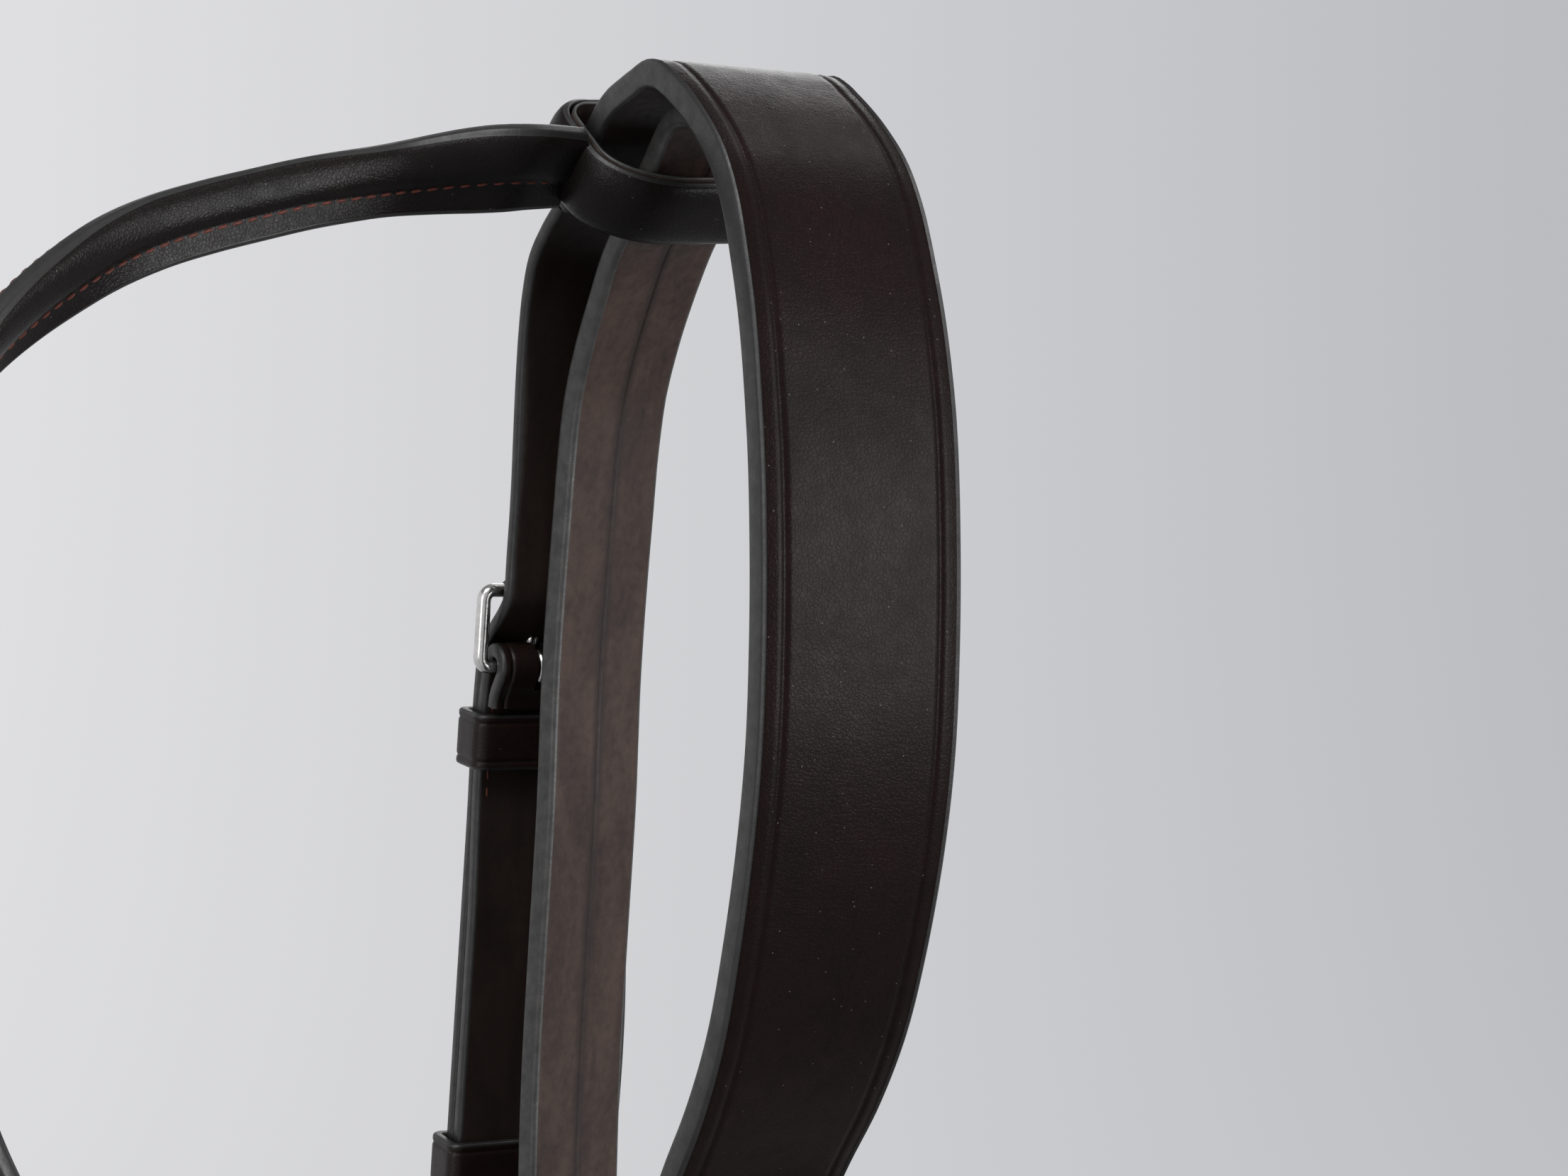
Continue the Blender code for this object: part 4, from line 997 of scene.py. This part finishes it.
def fold_stitches(label, frames, b, inside=False):
    """Short rows of thread beside the fold under a buckle, and longer ones that show on the horse's side."""
    start = TURN_BACK + math.pi * fold_offset(b) + FOLD_THREAD_START
    a = b.width / 2 - FOLD_THREAD_INSET
    short, long = (start, start + FOLD_THREAD_SHORT), (start, start + FOLD_THREAD_LONG)
    for side, sign in (("front", 1), ("rear", -1)):
        row = (frames, a * sign, b.anchor / 2)
        stitch_row(f"{label}_fold_thread_{side}", *row, *short, 0.0027, size=0.00028)
        if inside:
            stitch_row(f"{label}_inner_thread_{side}", *row, *long, look=RED_THREAD, side=-1, size=0.00024)


def tongue_slot(anchor, b, place):
    """The slot in the fold that the tongue passes through."""
    eye = b.bar + FIT_GAP + 2 * b.tongue
    low = -eye - LOOP_GAP
    high = fold_offset(b) + b.anchor
    spot = place @ Matrix.Translation((0, 0, (low + high) / 2))
    cut(anchor, spot, (2 * (b.tongue + LOOP_GAP), 4 * high, high - low), False)


def tongue_hole(punched, b, place):
    """The hole that the tongue passes through, drawn long by its slant, with room for the lift."""
    eye = b.bar + FIT_GAP + b.tongue
    rest = b.top + FIT_GAP + b.tongue
    slant = billet_slant(b)
    high = b.reach - behind_offset(b) * math.sin(slant)
    crossing = high - (rest + behind_offset(b) * math.cos(slant)) / math.tan(slant)
    lift = b.reach * math.sin(TONGUE_LIFT)
    wide = 2 * (b.tongue + LOOP_GAP)
    length = b.billet / math.sin(slant) + wide / math.tan(slant) + CUT_ROOM
    spot = place @ Matrix.Translation((0, (rest + eye + lift) / 2, crossing))
    cut(punched, spot, (wide, wide + lift, length))


def strap_holes(thing, b, place, ups):
    """Punched holes, square to the billet where it lies over the cheekpiece."""
    for up in ups:
        spot = place @ Matrix.Translation((0, over_offset(b), up)) @ QUARTER_TURN
        cut(thing, spot, (2 * HOLE_RADIUS, 2 * HOLE_RADIUS, b.anchor + 2 * CUT_ROOM))


BUCKLE_CORNER_SHARE = 1.35
BUCKLE_WAIST_SHARE = 0.04
ROLLER_LIP = 0.0003
ROLLER_SHARP_ANGLE = math.radians(35)
TONGUE_WRAP = math.radians(250)
TONGUE_RUN_SHARES = (0.15, 0.3, 0.5, 0.7, 0.85, 1.0)
TONGUE_TIP_SHARES = ((0.5, 0.97), (0.8, 0.85), (0.95, 0.6), (1.0, 0.3))


def buckle_set(label, b, place, has_roller):
    """The frame with its shaped sides, the roller and the tongue."""
    half = b.width / 2 + BUCKLE_SIDE_ROOM + b.bar
    points, radii = [], []
    for x, z, normal in rounded_path(half, b.reach / 2, BUCKLE_CORNER_SHARE * b.bar, 8, 0.0012):
        points.append((x, 0, b.reach / 2 + z))
        radii.append(b.bar * (1 - BUCKLE_WAIST_SHARE * (1 - abs(normal[0]))))
    thing = tube(f"{label}_buckle", points, radii, place, closed=True, corners=20)
    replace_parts(thing, f"{label}_buckle_frame")
    if has_roller:
        end = (b.width + 2 * BUCKLE_SIDE_ROOM) * ROLLER_SHARE / 2
        lip = ROLLER_LIP
        half_profile = [(b.top, end - lip), (b.top - lip, end)]
        half_profile += [(ROLLER_BORE_RADIUS + lip / 2, end), (ROLLER_BORE_RADIUS, end - lip)]
        profile = [(radius, -height) for radius, height in half_profile[::-1]] + half_profile
        spot = place @ Matrix.Translation((0, 0, b.reach)) @ Matrix.Rotation(math.pi / 2, 4, "Y")
        made = turned(f"{label}_roller_tube", profile, spot, True, f"{label}_roller", ROLLER_SHARP_ANGLE)
        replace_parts(made, f"{label}_buckle_roller")
    eye = b.bar + FIT_GAP + b.tongue
    rest = b.top + FIT_GAP + b.tongue
    path = arc((0, 0), eye, -TONGUE_WRAP, 0, 26)
    path += [(eye + (rest - eye) * t, b.reach * t) for t in TONGUE_RUN_SHARES]
    radii = [b.tongue] * len(path) + [b.tongue * share for _, share in TONGUE_TIP_SHARES]
    path += [(rest, b.reach + TONGUE_OVERHANG * t) for t, _ in TONGUE_TIP_SHARES]
    points = [(0, out, up) for out, up in path]
    made = tube(f"{label}_tongue_pin", points, radii, place, body=f"{label}_tongue", normal=FORTH)
    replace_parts(made, f"{label}_buckle_tongue")


def keepers(label, b, place, runner_below):
    """The fixed keeper under the buckle, and the loose runner further down."""
    back = fold_offset(b) - b.anchor / 2 - LOOP_GAP
    front = over_offset(b) + b.billet / 2 + LOOP_GAP
    room = (place, b.width + 2 * LOOP_GAP, back, front, b.keeper)
    leather_ring(f"{label}_fixed_keeper", f"{label}_keeper", *room, KEEPER_BELOW_BAR)
    leather_ring(f"{label}_loose_runner", f"{label}_runner", *room, runner_below, f"{label}_runner")


def billet(label, b, start, heading, place, side, tail, count):
    """A punched strap from the headpiece's end through its buckle, with the tongue's hole."""
    route = run_to_buckle(start, heading, place, b, count)
    across = (place.to_3x3() @ FORTH).normalized()
    sides = [side.lerp(across, i / len(route)) for i in range(len(route))]
    rest = placed(place, billet_path(b, tail))
    sides += [across] * len(rest)
    tip = b.width * TIP_LENGTH_SHARE
    thing, _ = strap(f"{label}_billet", route + rest, sides, b.width, b.billet, tip)
    tongue_hole(thing, b, place)
    return thing


STUD_DOME_STEPS = 10
STUD_DOME_SHARE = 0.72
STUD_HEAD_SHARES = ((0.97, 0.82), (0.82, 1.0))
STUD_PLATE_SHARES = ((0.96, 0.0), (1.0, 0.25), (0.97, 0.75), (0.88, 1.0), (0.0, 1.0))


def hook_stud(label, b, place):
    """A stud riveted through the turned-back end: domed head, neck and plate."""
    fold = fold_offset(b)
    inner_face = fold - b.anchor - FIT_GAP - b.anchor / 2 - FIT_GAP
    outer_face = fold + b.anchor / 2 + FIT_GAP
    top = STUD_HEAD_HEIGHT - inner_face
    shares = [(0.0, 0.0)]
    for step in range(1, STUD_DOME_STEPS + 1):
        angle = math.pi / 2 * step / STUD_DOME_STEPS
        shares.append((math.sin(angle), STUD_DOME_SHARE * (1 - math.cos(angle))))
    profile = [(STUD_HEAD_RADIUS * r, top - STUD_HEAD_HEIGHT * h) for r, h in (*shares, *STUD_HEAD_SHARES)]
    profile += [(STUD_NECK_RADIUS, -inner_face), (STUD_NECK_RADIUS, -outer_face)]
    profile += [(STUD_HEAD_RADIUS * r, -outer_face - STUD_PLATE * h) for r, h in STUD_PLATE_SHARES]
    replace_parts(turned(f"{label}_stud", profile, place @ QUARTER_TURN), f"{label}_hook_stud")


def cheek(label, end, heading, place, sign):
    """One side's billet, cheekpiece, buckle, keepers and hook stud."""
    b = CHEEK_BUCKLE
    centre, across, _ = end
    start = centre - across * (POLL_WIDTH - b.width) / 2 + heading * FIT_GAP
    name = f"{label}_cheek"
    punched = billet(name, b, start, heading, place, across * sign, CHEEK_BILLET_TAIL, CHEEK_BILLET_STATIONS)
    strap_holes(punched, b, place, [-HOLE_FIRST - HOLE_PITCH * i for i in range(HOLE_COUNT)])
    side = (place.to_3x3() @ FORTH).normalized()
    thing, frames = strap(f"{name}piece", placed(place, cheekpiece_path(b)), side, b.width, b.anchor)
    tongue_slot(thing, b, place)
    stud_place = place @ Matrix.Translation((0, 0, -CHEEK_LENGTH + STUD_HEIGHT))
    wide = 2 * (STUD_NECK_RADIUS + LOOP_GAP)
    cut(thing, stud_place @ QUARTER_TURN, (wide, wide, 4 * fold_offset(b)))
    fold_stitches(name, frames, b, inside=True)
    hook_stud(label, b, stud_place)
    buckle_set(name, b, place, True)
    keepers(name, b, place, RUNNER_BELOW_BAR)


def throat_place(out, drop, lean, sign):
    """The frame of a throatlatch buckle, leaning inward as it goes up."""
    return strap_frame(Vector((THROAT_REAR, out, -drop)), Vector((0, -lean, 1)), Vector((0, sign, 0)))


def throatlatch(off_end, near_end):
    """The narrow strap under the jaw, buckled to a billet of its own on each side."""
    b = NARROW_BUCKLE
    places = {
        "off": throat_place(OFF_THROAT_OUT, OFF_THROAT_DROP, OFF_THROAT_LEAN, 1),
        "near": throat_place(NEAR_THROAT_OUT, NEAR_THROAT_DROP, 0, -1),
    }
    for label, (end, heading), sign in (("off", off_end, 1), ("near", near_end, -1)):
        centre, across, _ = end
        start = centre + across * THROAT_REAR + heading * FIT_GAP
        name = f"{label}_throat"
        place = places[label]
        punched = billet(name, b, start, heading, place, across * sign, THROAT_TAIL, THROAT_BILLET_STATIONS)
        strap_holes(punched, b, place, [-NARROW_HOLE_FIRST])
        buckle_set(name, b, place, False)
        keepers(name, b, place, NARROW_RUNNER_BELOW)
    down = [(fold_offset(b), -THROAT_STRAIGHT * share) for share in (0.5, 1)]
    off = placed(places["off"], anchor_path(b) + down)
    near = placed(places["near"], anchor_path(b) + down)
    over = near[-1].y - off[-1].y
    bends = []
    for x, y, z in THROAT_SHARES:
        bends.append((THROAT_REAR + THROAT_SWING * x, off[-1].y + over * y, -THROAT_BOTTOM_DROP * z))
    ahead = [side[-1] + (side[-1] - side[-2]) * THROAT_LEAD_SHARE for side in (off, near)]
    hang = smooth_route([off[-1], ahead[0], *bends, ahead[1], near[-1]], THROAT_STATIONS)
    route = off + hang[1:-1] + near[::-1]
    thing, frames = strap("throatlatch", route, FORTH, b.width, b.anchor, edge=NARROW_EDGE)
    for place in places.values():
        tongue_slot(thing, b, place)
    fold_stitches("off_throat", frames, b)
    fold_stitches("near_throat", stations([f[0] for f in frames[::-1]], [-f[1] for f in frames[::-1]]), b)


# Headpiece, headstrap, browband and noseband

POLL_STEP = 0.0016
POLL_EDGE = 0.0010
POLL_CREASE_INSET = 0.0044
POLL_CREASE_DEPTH = 0.00036
POLL_CREASE_REACH = 0.00062
POLL_ROLL = 0.00075
END_THREAD_FROM_END = 0.0032
END_THREAD_INSET = 0.004
HANGER_EDGE = 0.0011
HANGER_CREASE_INSET = 0.0030


def headpiece(poll):
    """The wide strap: a soft crease along each edge, and thread across both its ends."""
    frames = refined(poll, POLL_STEP)
    shape = section(
        POLL_WIDTH, POLL_THICKNESS, POLL_EDGE, (POLL_WIDTH / 2 - POLL_CREASE_INSET,), POLL_CREASE_DEPTH,
        fine=0.0009, reach=POLL_CREASE_REACH, roll=POLL_ROLL,
    )
    thing = band("headpiece_strap", frames, shape, [LEATHER, PAINT, FLESH])
    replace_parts(thing, "headpiece")
    run = lengths_along(frames)
    half = POLL_WIDTH / 2 - END_THREAD_INSET
    for label, middle in (("near", END_THREAD_FROM_END), ("off", run[-1] - END_THREAD_FROM_END)):
        here, across, out = frame_at(frames, middle)
        places = [here + across * (half * share) for share in np.linspace(-1, 1, 9)]
        turned_frames = [(place, across.cross(out), out) for place in places]
        row = (turned_frames, 0, POLL_THICKNESS / 2, 0, 2 * half, 0.0028)
        stitch_row(f"headpiece_end_thread_{label}", *row)


def headstrap(hanger):
    """The noseband's own strap: leather outside, a pale lining inside with a seam down its middle."""
    frames = refined(hanger, STRAP_STEP)
    crease = HANGER_WIDTH / 2 - HANGER_CREASE_INSET
    shape = section(
        HANGER_WIDTH, HANGER_THICKNESS, HANGER_EDGE, (crease,), CREASE_DEPTH, back=(0.0,), fine=0.0010,
    )
    thing = band("lined_headstrap", frames, shape, [NARROW_LEATHER, PALE_EDGE, LINED])
    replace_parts(thing, "noseband_headstrap")


LOOP_LINING = 0.0007
LOOP_LINING_GAP = 0.00005
LOOP_CROWN = 0.0018
LOOP_FLAT_THICKNESS = LOOP_THICKNESS - LOOP_LINING - LOOP_CROWN / 2
LOOP_PATH_STEP = 0.0012


def loop_path(grow):
    """Close points round a browband loop, this far outside its inner face, with their outward normals."""
    half = POLL_WIDTH / 2 + LOOP_SIDE_GAP + grow
    deep = LOOP_DEPTH / 2 + grow
    outer = (LOOP_OUTER_RADIUS + grow, LOOP_OUTER_RADIUS + grow)
    inner = (LOOP_INNER_REACH + grow, LOOP_INNER_RADIUS + grow)
    points = []
    for (sx, sy, start), (reach, radius) in zip(QUARTERS, (outer, outer, inner, inner)):
        for x, y in arc((0, 0), 1, math.radians(start), math.radians(start + 90), 12):
            points.append((sx * (half - reach) + reach * x, sy * (deep - radius) + radius * y))
    filled = []
    for here, there in zip(points, points[1:] + points[:1]):
        parts = max(1, round(math.dist(here, there) / LOOP_PATH_STEP))
        for i in range(parts):
            filled.append(tuple(a + (b - a) * i / parts for a, b in zip(here, there)))
    path = []
    for before, here, after in zip(filled[-1:] + filled[:-1], filled, filled[1:] + filled[:1]):
        run = Vector((after[0] - before[0], after[1] - before[1])).normalized()
        path.append((here[0], here[1], (run.y, -run.x)))
    return path


def loop(label, place):
    """A padded outer layer round a thinner lining, whose edge shows as a pale line."""
    front = POLL_THICKNESS / 2 + LOOP_OUT_GAP
    spot = place @ Matrix.Translation((0, front - LOOP_DEPTH / 2, 0))
    thin = section(LOOP_HEIGHT, LOOP_LINING, 0.0003, fine=0.0016)
    full = section(
        LOOP_HEIGHT - 0.0006, LOOP_FLAT_THICKNESS, 0.0004, crown=LOOP_CROWN, margin=0.0001, fine=0.0006,
    )
    layers = (
        ("lining", LOOP_LINING / 2, thin, [LINING, PALE_EDGE, LINING]),
        ("loop", (LOOP_THICKNESS + LOOP_LINING) / 2 + LOOP_LINING_GAP, full, [PADDED, PAINT, FLESH]),
    )
    for kind, grow, shape, looks in layers:
        frames = ring_frames(spot, loop_path(grow))
        thing = band(f"browband_{label}_{kind}", frames, shape, looks, closed=True)
        if kind == "loop":
            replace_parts(thing, f"browband_loop_{label}")


BROW_LEAF = 0.0032
BROW_EDGE = 0.0010
BROW_CREASE_INSET = 0.0023
BROW_CREASE_DEPTH = 0.0003
BROW_PAD = 0.0013
BROW_PAD_MARGIN = 0.0028
BROW_ROLL = 0.0015
BROW_ROLL_POWERS = (2.4, 0.6)
BROW_ROLL_FROM = -BROW_WIDTH / 2 + 0.0008
BROW_ROLL_TO = BROW_WIDTH * 0.12
BROW_BACK_THREAD_SHARE = 0.14
THREAD_FROM_END = 0.004


def padded_section():
    """The browband's section: a low pad outside, and a roll along the upper part of its inner face."""
    points, parts = section(
        BROW_WIDTH, BROW_LEAF, BROW_EDGE, (BROW_WIDTH / 2 - BROW_CREASE_INSET,), BROW_CREASE_DEPTH,
        crown=BROW_PAD, margin=BROW_PAD_MARGIN, fine=0.0006,
    )
    middle, reach = (BROW_ROLL_FROM + BROW_ROLL_TO) / 2, (BROW_ROLL_TO - BROW_ROLL_FROM) / 2
    for i, (a, o) in enumerate(points):
        if parts[i] == BACK or o <= -BROW_LEAF / 2 + 1e-6:
            share = min(abs(a - middle) / reach, 1.0)
            points[i][1] = o - BROW_ROLL * (1 - share ** BROW_ROLL_POWERS[0]) ** BROW_ROLL_POWERS[1]
    return points, parts


def brow_widths(run):
    """The browband's share of its width at each length along it: wider at its ends."""
    shares = []
    for distance in run:
        from_end = min(distance, run[-1] - distance)
        t = min(max((from_end - BROW_FULL) / BROW_TAPER, 0), 1)
        shares.append(BROW_END_SHARE + (BROW_NARROW_SHARE - BROW_END_SHARE) * t**2 * (3 - 2 * t))
    return shares


def edge_threads(label, frames, a, row):
    """Red thread in the creases along both edges."""
    for sign, edge in ((1, "low"), (-1, "high")):
        stitch_row(f"{label}_thread_{edge}", frames, a * sign, *row, look=RED_THREAD)


def browband(off, near):
    """The two loops, and the padded band that runs forward and round between them."""
    loop("off", off)
    loop("near", near)
    front = POLL_THICKNESS / 2 + LOOP_OUT_GAP
    lead = POLL_WIDTH / 2 + LOOP_SIDE_GAP + LOOP_THICKNESS
    middle = (2 * front - LOOP_DEPTH - LOOP_OUTER_RADIUS + LOOP_INNER_RADIUS) / 2 - BROW_INSET
    leads = []
    for place in (off, near):
        steps = [lead + BROW_LEAD * share for share in (0, *BROW_LEAD_SHARES)]
        leads.append([place @ Vector((-step, middle, 0)) for step in steps])
    bends = [(-BROW_REACH * x, POLL_OFF_SPREAD * y, -BROW_DROP * z) for x, y, z in BROW_SHARES]
    points = smooth_route([*leads[0], *bends, *leads[1][::-1]], BROW_STATIONS)
    sides = turning_sides(len(points), -UP, LEFT, BROW_HELD)
    ends = [(-(off.to_3x3() @ UP), range(BROW_TURN)), (near.to_3x3() @ UP, range(-1, -1 - BROW_TURN, -1))]
    for end, numbers in ends:
        for step, number in enumerate(numbers):
            sides[number] = end.lerp(sides[number], step / BROW_TURN)
    frames = refined(stations(points, sides), STRAP_STEP)
    run = lengths_along(frames)
    shares = brow_widths(run)
    thing = band("padded_browband", frames, padded_section(), [PADDED, PAINT, PADDED], shares)
    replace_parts(thing, "browband")
    frames = [(c, side * share, out) for (c, side, out), share in zip(frames, shares)]
    row = (BROW_LEAF / 2, THREAD_FROM_END, run[-1] - THREAD_FROM_END)
    edge_threads("browband", frames, BROW_WIDTH / 2 - BROW_CREASE_INSET, row)
    back = BROW_WIDTH * BROW_BACK_THREAD_SHARE
    stitch_row("browband_back_thread", frames, back, *row, look=RED_THREAD, side=-1)


NOSE_STEP = 0.0022
NOSE_EDGE = 0.0012
NOSE_CREASE_INSET = 0.0030
NOSE_CREASE_DEPTH = 0.0004
NOSE_CROWN_MARGIN = 0.0052


def noseband(hanger):
    """The raised nosepiece, the tab with its buckle at one end and the chin strap from the other."""
    nose = nose_frames(hanger)
    frames = refined(nose, NOSE_STEP)
    crease = NOSE_WIDTH / 2 - NOSE_CREASE_INSET
    shape = section(
        NOSE_WIDTH, NOSE_THICKNESS, NOSE_EDGE, (crease,), NOSE_CREASE_DEPTH,
        crown=NOSE_CROWN, margin=NOSE_CROWN_MARGIN, fine=0.0009,
    )
    thing = band("raised_nosepiece", frames, shape, [PADDED, PAINT, LINING])
    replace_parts(thing, "nosepiece")
    row = (NOSE_THICKNESS / 2, THREAD_FROM_END, lengths_along(frames)[-1] - THREAD_FROM_END)
    edge_threads("nosepiece", frames, crease, row)
    b = CHEEK_BUCKLE
    behind = NOSE_THICKNESS / 2 + LOOP_GAP
    end = nose[-1][0]
    bar_y = end.y + behind + fold_offset(b) + b.anchor / 2
    place = strap_frame(Vector((end.x + CHIN_TAB, bar_y, end.z)), FORTH, -LEFT)
    down = [(fold_offset(b), -(CHIN_TAB + CHIN_LAP) * share) for share in (0.5, 1)]
    tab, tab_frames = strap("chin_tab", placed(place, anchor_path(b) + down), UP, b.width, b.anchor)
    tongue_slot(tab, b, place)
    fold_stitches("chin", tab_frames, b)
    lap = [frame_at(nose, CHIN_LAP), frame_at(nose, CHIN_LAP / 2), nose[0]]
    lap = [centre - side * (behind + b.billet / 2) for centre, _, side in lap]
    start = lap[-1]
    top = place @ Vector((0, -behind_offset(b), b.reach))
    bends = []
    for x, y, z in CHIN_SHARES:
        bends.append((CHIN_REAR * x, start.y + (top.y - start.y) * y, start.z + (top.z - start.z) * z))
    lead = start + (start - lap[0]).normalized() * CHIN_LEAD
    ahead = top + Vector((CHIN_LEAD, 0, 0))
    route = smooth_route([*lap, lead, *bends, ahead, top], CHIN_STATIONS)[:-1]
    rest = placed(place, billet_path(b, CHIN_TAIL))
    sides = turning_sides(len(route), UP, -LEFT, CHIN_HELD) + [UP] * len(rest)
    chin, _ = strap("chin_strap", route + rest, sides, b.width, b.billet, b.width * TIP_LENGTH_SHARE)
    tongue_hole(chin, b, place)
    buckle_set("chin", b, place, True)
    keepers("chin", b, place, CHIN_RUNNER_BELOW)


poll = poll_frames()
hanger = hanger_frames(poll)
headpiece(poll)
headstrap(hanger)
poll_run = lengths_along(poll)[-1]
off_loop = frame_matrix(*frame_at(poll, poll_run - LOOP_FROM_END))
off_loop = off_loop @ Matrix.Rotation(LOOP_TILT, 4, "Y") @ Matrix.Rotation(LOOP_LEVEL, 4, "X")
browband(off_loop, frame_matrix(*frame_at(poll, LOOP_FROM_END)))
off_heading = poll[-1][2].cross(poll[-1][1])
near_heading = poll[0][1].cross(poll[0][2])
off_bar = Vector((-CHEEK_FORWARD, OFF_BAR_OUT, -OFF_BAR_DROP))
near_bar = Vector((-CHEEK_FORWARD, NEAR_BAR_OUT, -NEAR_BAR_DROP))
off_place = strap_frame(off_bar, Vector((0, -OFF_LEAN, 1)), LEFT)
near_place = strap_frame(near_bar, UP, -LEFT)
cheek("off", poll[-1], off_heading, off_place, 1)
cheek("near", poll[0], near_heading, near_place, -1)
throatlatch((poll[-1], off_heading), (poll[0], near_heading))
noseband(hanger)

# Stage, light and camera

FLOOR_Z = -0.60
FLOOR_RINGS = (0.6, 1.4, 2.6)
COVE_RADIUS = 1.1
COVE_STEPS = 12
WALL_TOP = 3.0
CAMERA_RIGHT = (0.866, -0.5)
# Painted light on the wall and floor: they glow, with a painted falloff from left to right and a painted
# shade on the floor round the middle
PAINTED_FALLOFF_SPAN = 0.85
PAINTED_GLOW_LEFT = (0.735, 0.735, 0.750)
PAINTED_GLOW_RIGHT = (0.500, 0.505, 0.530)
PAINTED_FLOOR_SHADE = (0.16, 0.16, 0.17)
PAINTED_FLOOR_SHADE_RADII = (0.6, 2.1)
PAINTED_FLOOR_SHADE_SHARE = 0.35
STAGE_GREY = (0.18, 0.18, 0.19)
LAMP_TARGET = Vector((0.0, 0.02, -0.15))
LAMPS = (
    ("key", -45, 50, 1.6, (0.8, 0.8), 14),
    ("left", -62, 4, 1.8, (0.5, 1.1), 8),
    ("right", 35, 1, 1.9, (0.5, 0.6), 18),
    ("high_right", 36, 18, 1.9, (0.5, 0.5), 6),
    ("back", 144, 34, 1.8, (0.6, 0.6), 5),
    ("top_right", 90, 58, 1.8, (0.5, 0.6), 4),
)
SKY = (0.92, 0.94, 0.97, 1)
SKY_STRENGTH = 0.30


def painted_glow_stage_look():
    """Painted light: seen directly, in a reflection or through glass the stage glows pale grey, with a
    painted falloff from left to right across the camera's view and a painted shade on the floor round the
    middle; as a source of light it is a plain darker grey.
    """
    look = Look("painted_glow_backdrop")
    place = look.node("ShaderNodeSeparateXYZ", {"Vector": look.place}).outputs
    along = look.blend((place["X"], CAMERA_RIGHT[0]), (place["Y"], CAMERA_RIGHT[1]))
    tone = look.mix(look.remap(along, -PAINTED_FALLOFF_SPAN, PAINTED_FALLOFF_SPAN), PAINTED_GLOW_LEFT, PAINTED_GLOW_RIGHT)
    radius = look.node("ShaderNodeVectorMath", {0: look.place}, operation="LENGTH").outputs["Value"]
    tone = look.mix(look.remap(radius, *PAINTED_FLOOR_SHADE_RADII, PAINTED_FLOOR_SHADE_SHARE, 0.0), tone, PAINTED_FLOOR_SHADE)
    rays = look.node("ShaderNodeLightPath").outputs
    seen = look.math("ADD", rays["Is Camera Ray"], rays["Is Glossy Ray"])
    seen = look.math("MINIMUM", look.math("ADD", seen, rays["Is Transmission Ray"]), 1.0)
    look.set(Base_Color=STAGE_GREY, Roughness=0.9, Specular_IOR_Level=0.0)
    # Painted light: the glow carries the painted falloff and the painted floor shade
    glow = look.node("ShaderNodeEmission", {"Color": tone}).outputs[0]
    both = look.node("ShaderNodeMixShader", {0: seen, 1: look.shader.outputs[0], 2: glow})
    look.tree.links.new(both.outputs[0], look.tree.nodes["Material Output"].inputs["Surface"])
    return look.material


def cyclorama():
    """A round floor that curves up into a wall, so that no horizon shows from any side."""
    flat = FLOOR_RINGS[-1]
    profile = [(radius, 0.0) for radius in (0.0, *FLOOR_RINGS)]
    for step in range(1, COVE_STEPS + 1):
        angle = math.pi / 2 * step / COVE_STEPS
        profile.append((flat + COVE_RADIUS * math.sin(angle), COVE_RADIUS * (1 - math.cos(angle))))
    profile.append((flat + COVE_RADIUS, WALL_TOP))
    steps = 96
    verts, faces = [(0, 0, FLOOR_Z)], []
    for radius, height in profile[1:]:
        for step in range(steps):
            angle = 2 * math.pi * step / steps
            verts.append((radius * math.cos(angle), radius * math.sin(angle), FLOOR_Z + height))
    for step in range(steps):
        faces.append((0, 1 + step, 1 + (step + 1) % steps))
    faces += grid_faces(len(profile) - 1, steps, first=1)
    mesh = bpy.data.meshes.new("cyclorama")
    mesh.from_pydata(verts, [], faces)
    mesh.materials.append(painted_glow_stage_look())
    mesh.shade_smooth()
    made = bpy.data.objects.new("cyclorama", mesh)
    bpy.context.scene.collection.objects.link(made)


def lamp(name, azimuth, elevation, distance, size, power):
    """A soft lamp aimed at the bridle; azimuth 0 is on the -Y side and 90 on the +X side."""
    light = bpy.data.lights.new(name, "AREA")
    light.shape = "RECTANGLE"
    light.size, light.size_y = size
    light.energy = power
    made = bpy.data.objects.new(name, light)
    bpy.context.scene.collection.objects.link(made)
    turn, rise = math.radians(azimuth), math.radians(elevation)
    away = Vector((math.sin(turn) * math.cos(rise), -math.cos(turn) * math.cos(rise), math.sin(rise)))
    made.location = LAMP_TARGET + away * distance
    made.rotation_euler = away.to_track_quat("Z", "Y").to_euler()


cyclorama()
for settings in LAMPS:
    lamp(*settings)

world = bpy.data.worlds.new("studio")
world.use_nodes = True
background = world.node_tree.nodes["Background"].inputs
background["Color"].default_value = SKY
background["Strength"].default_value = SKY_STRENGTH
bpy.context.scene.world = world
bpy.context.scene.view_settings.view_transform = "Standard"

camera_data = bpy.data.cameras.new("photo_camera")
camera_data.sensor_fit = "HORIZONTAL"
camera_data.sensor_width = SENSOR_WIDTH
camera_data.lens = CAMERA_LENS
camera_data.clip_start = 0.02
camera = bpy.data.objects.new("photo_camera", camera_data)
bpy.context.scene.collection.objects.link(camera)
camera.location = CAMERA_PLACE
camera.rotation_euler = (math.pi / 2, 0, CAMERA_AZIMUTH)
bpy.context.scene.camera = camera
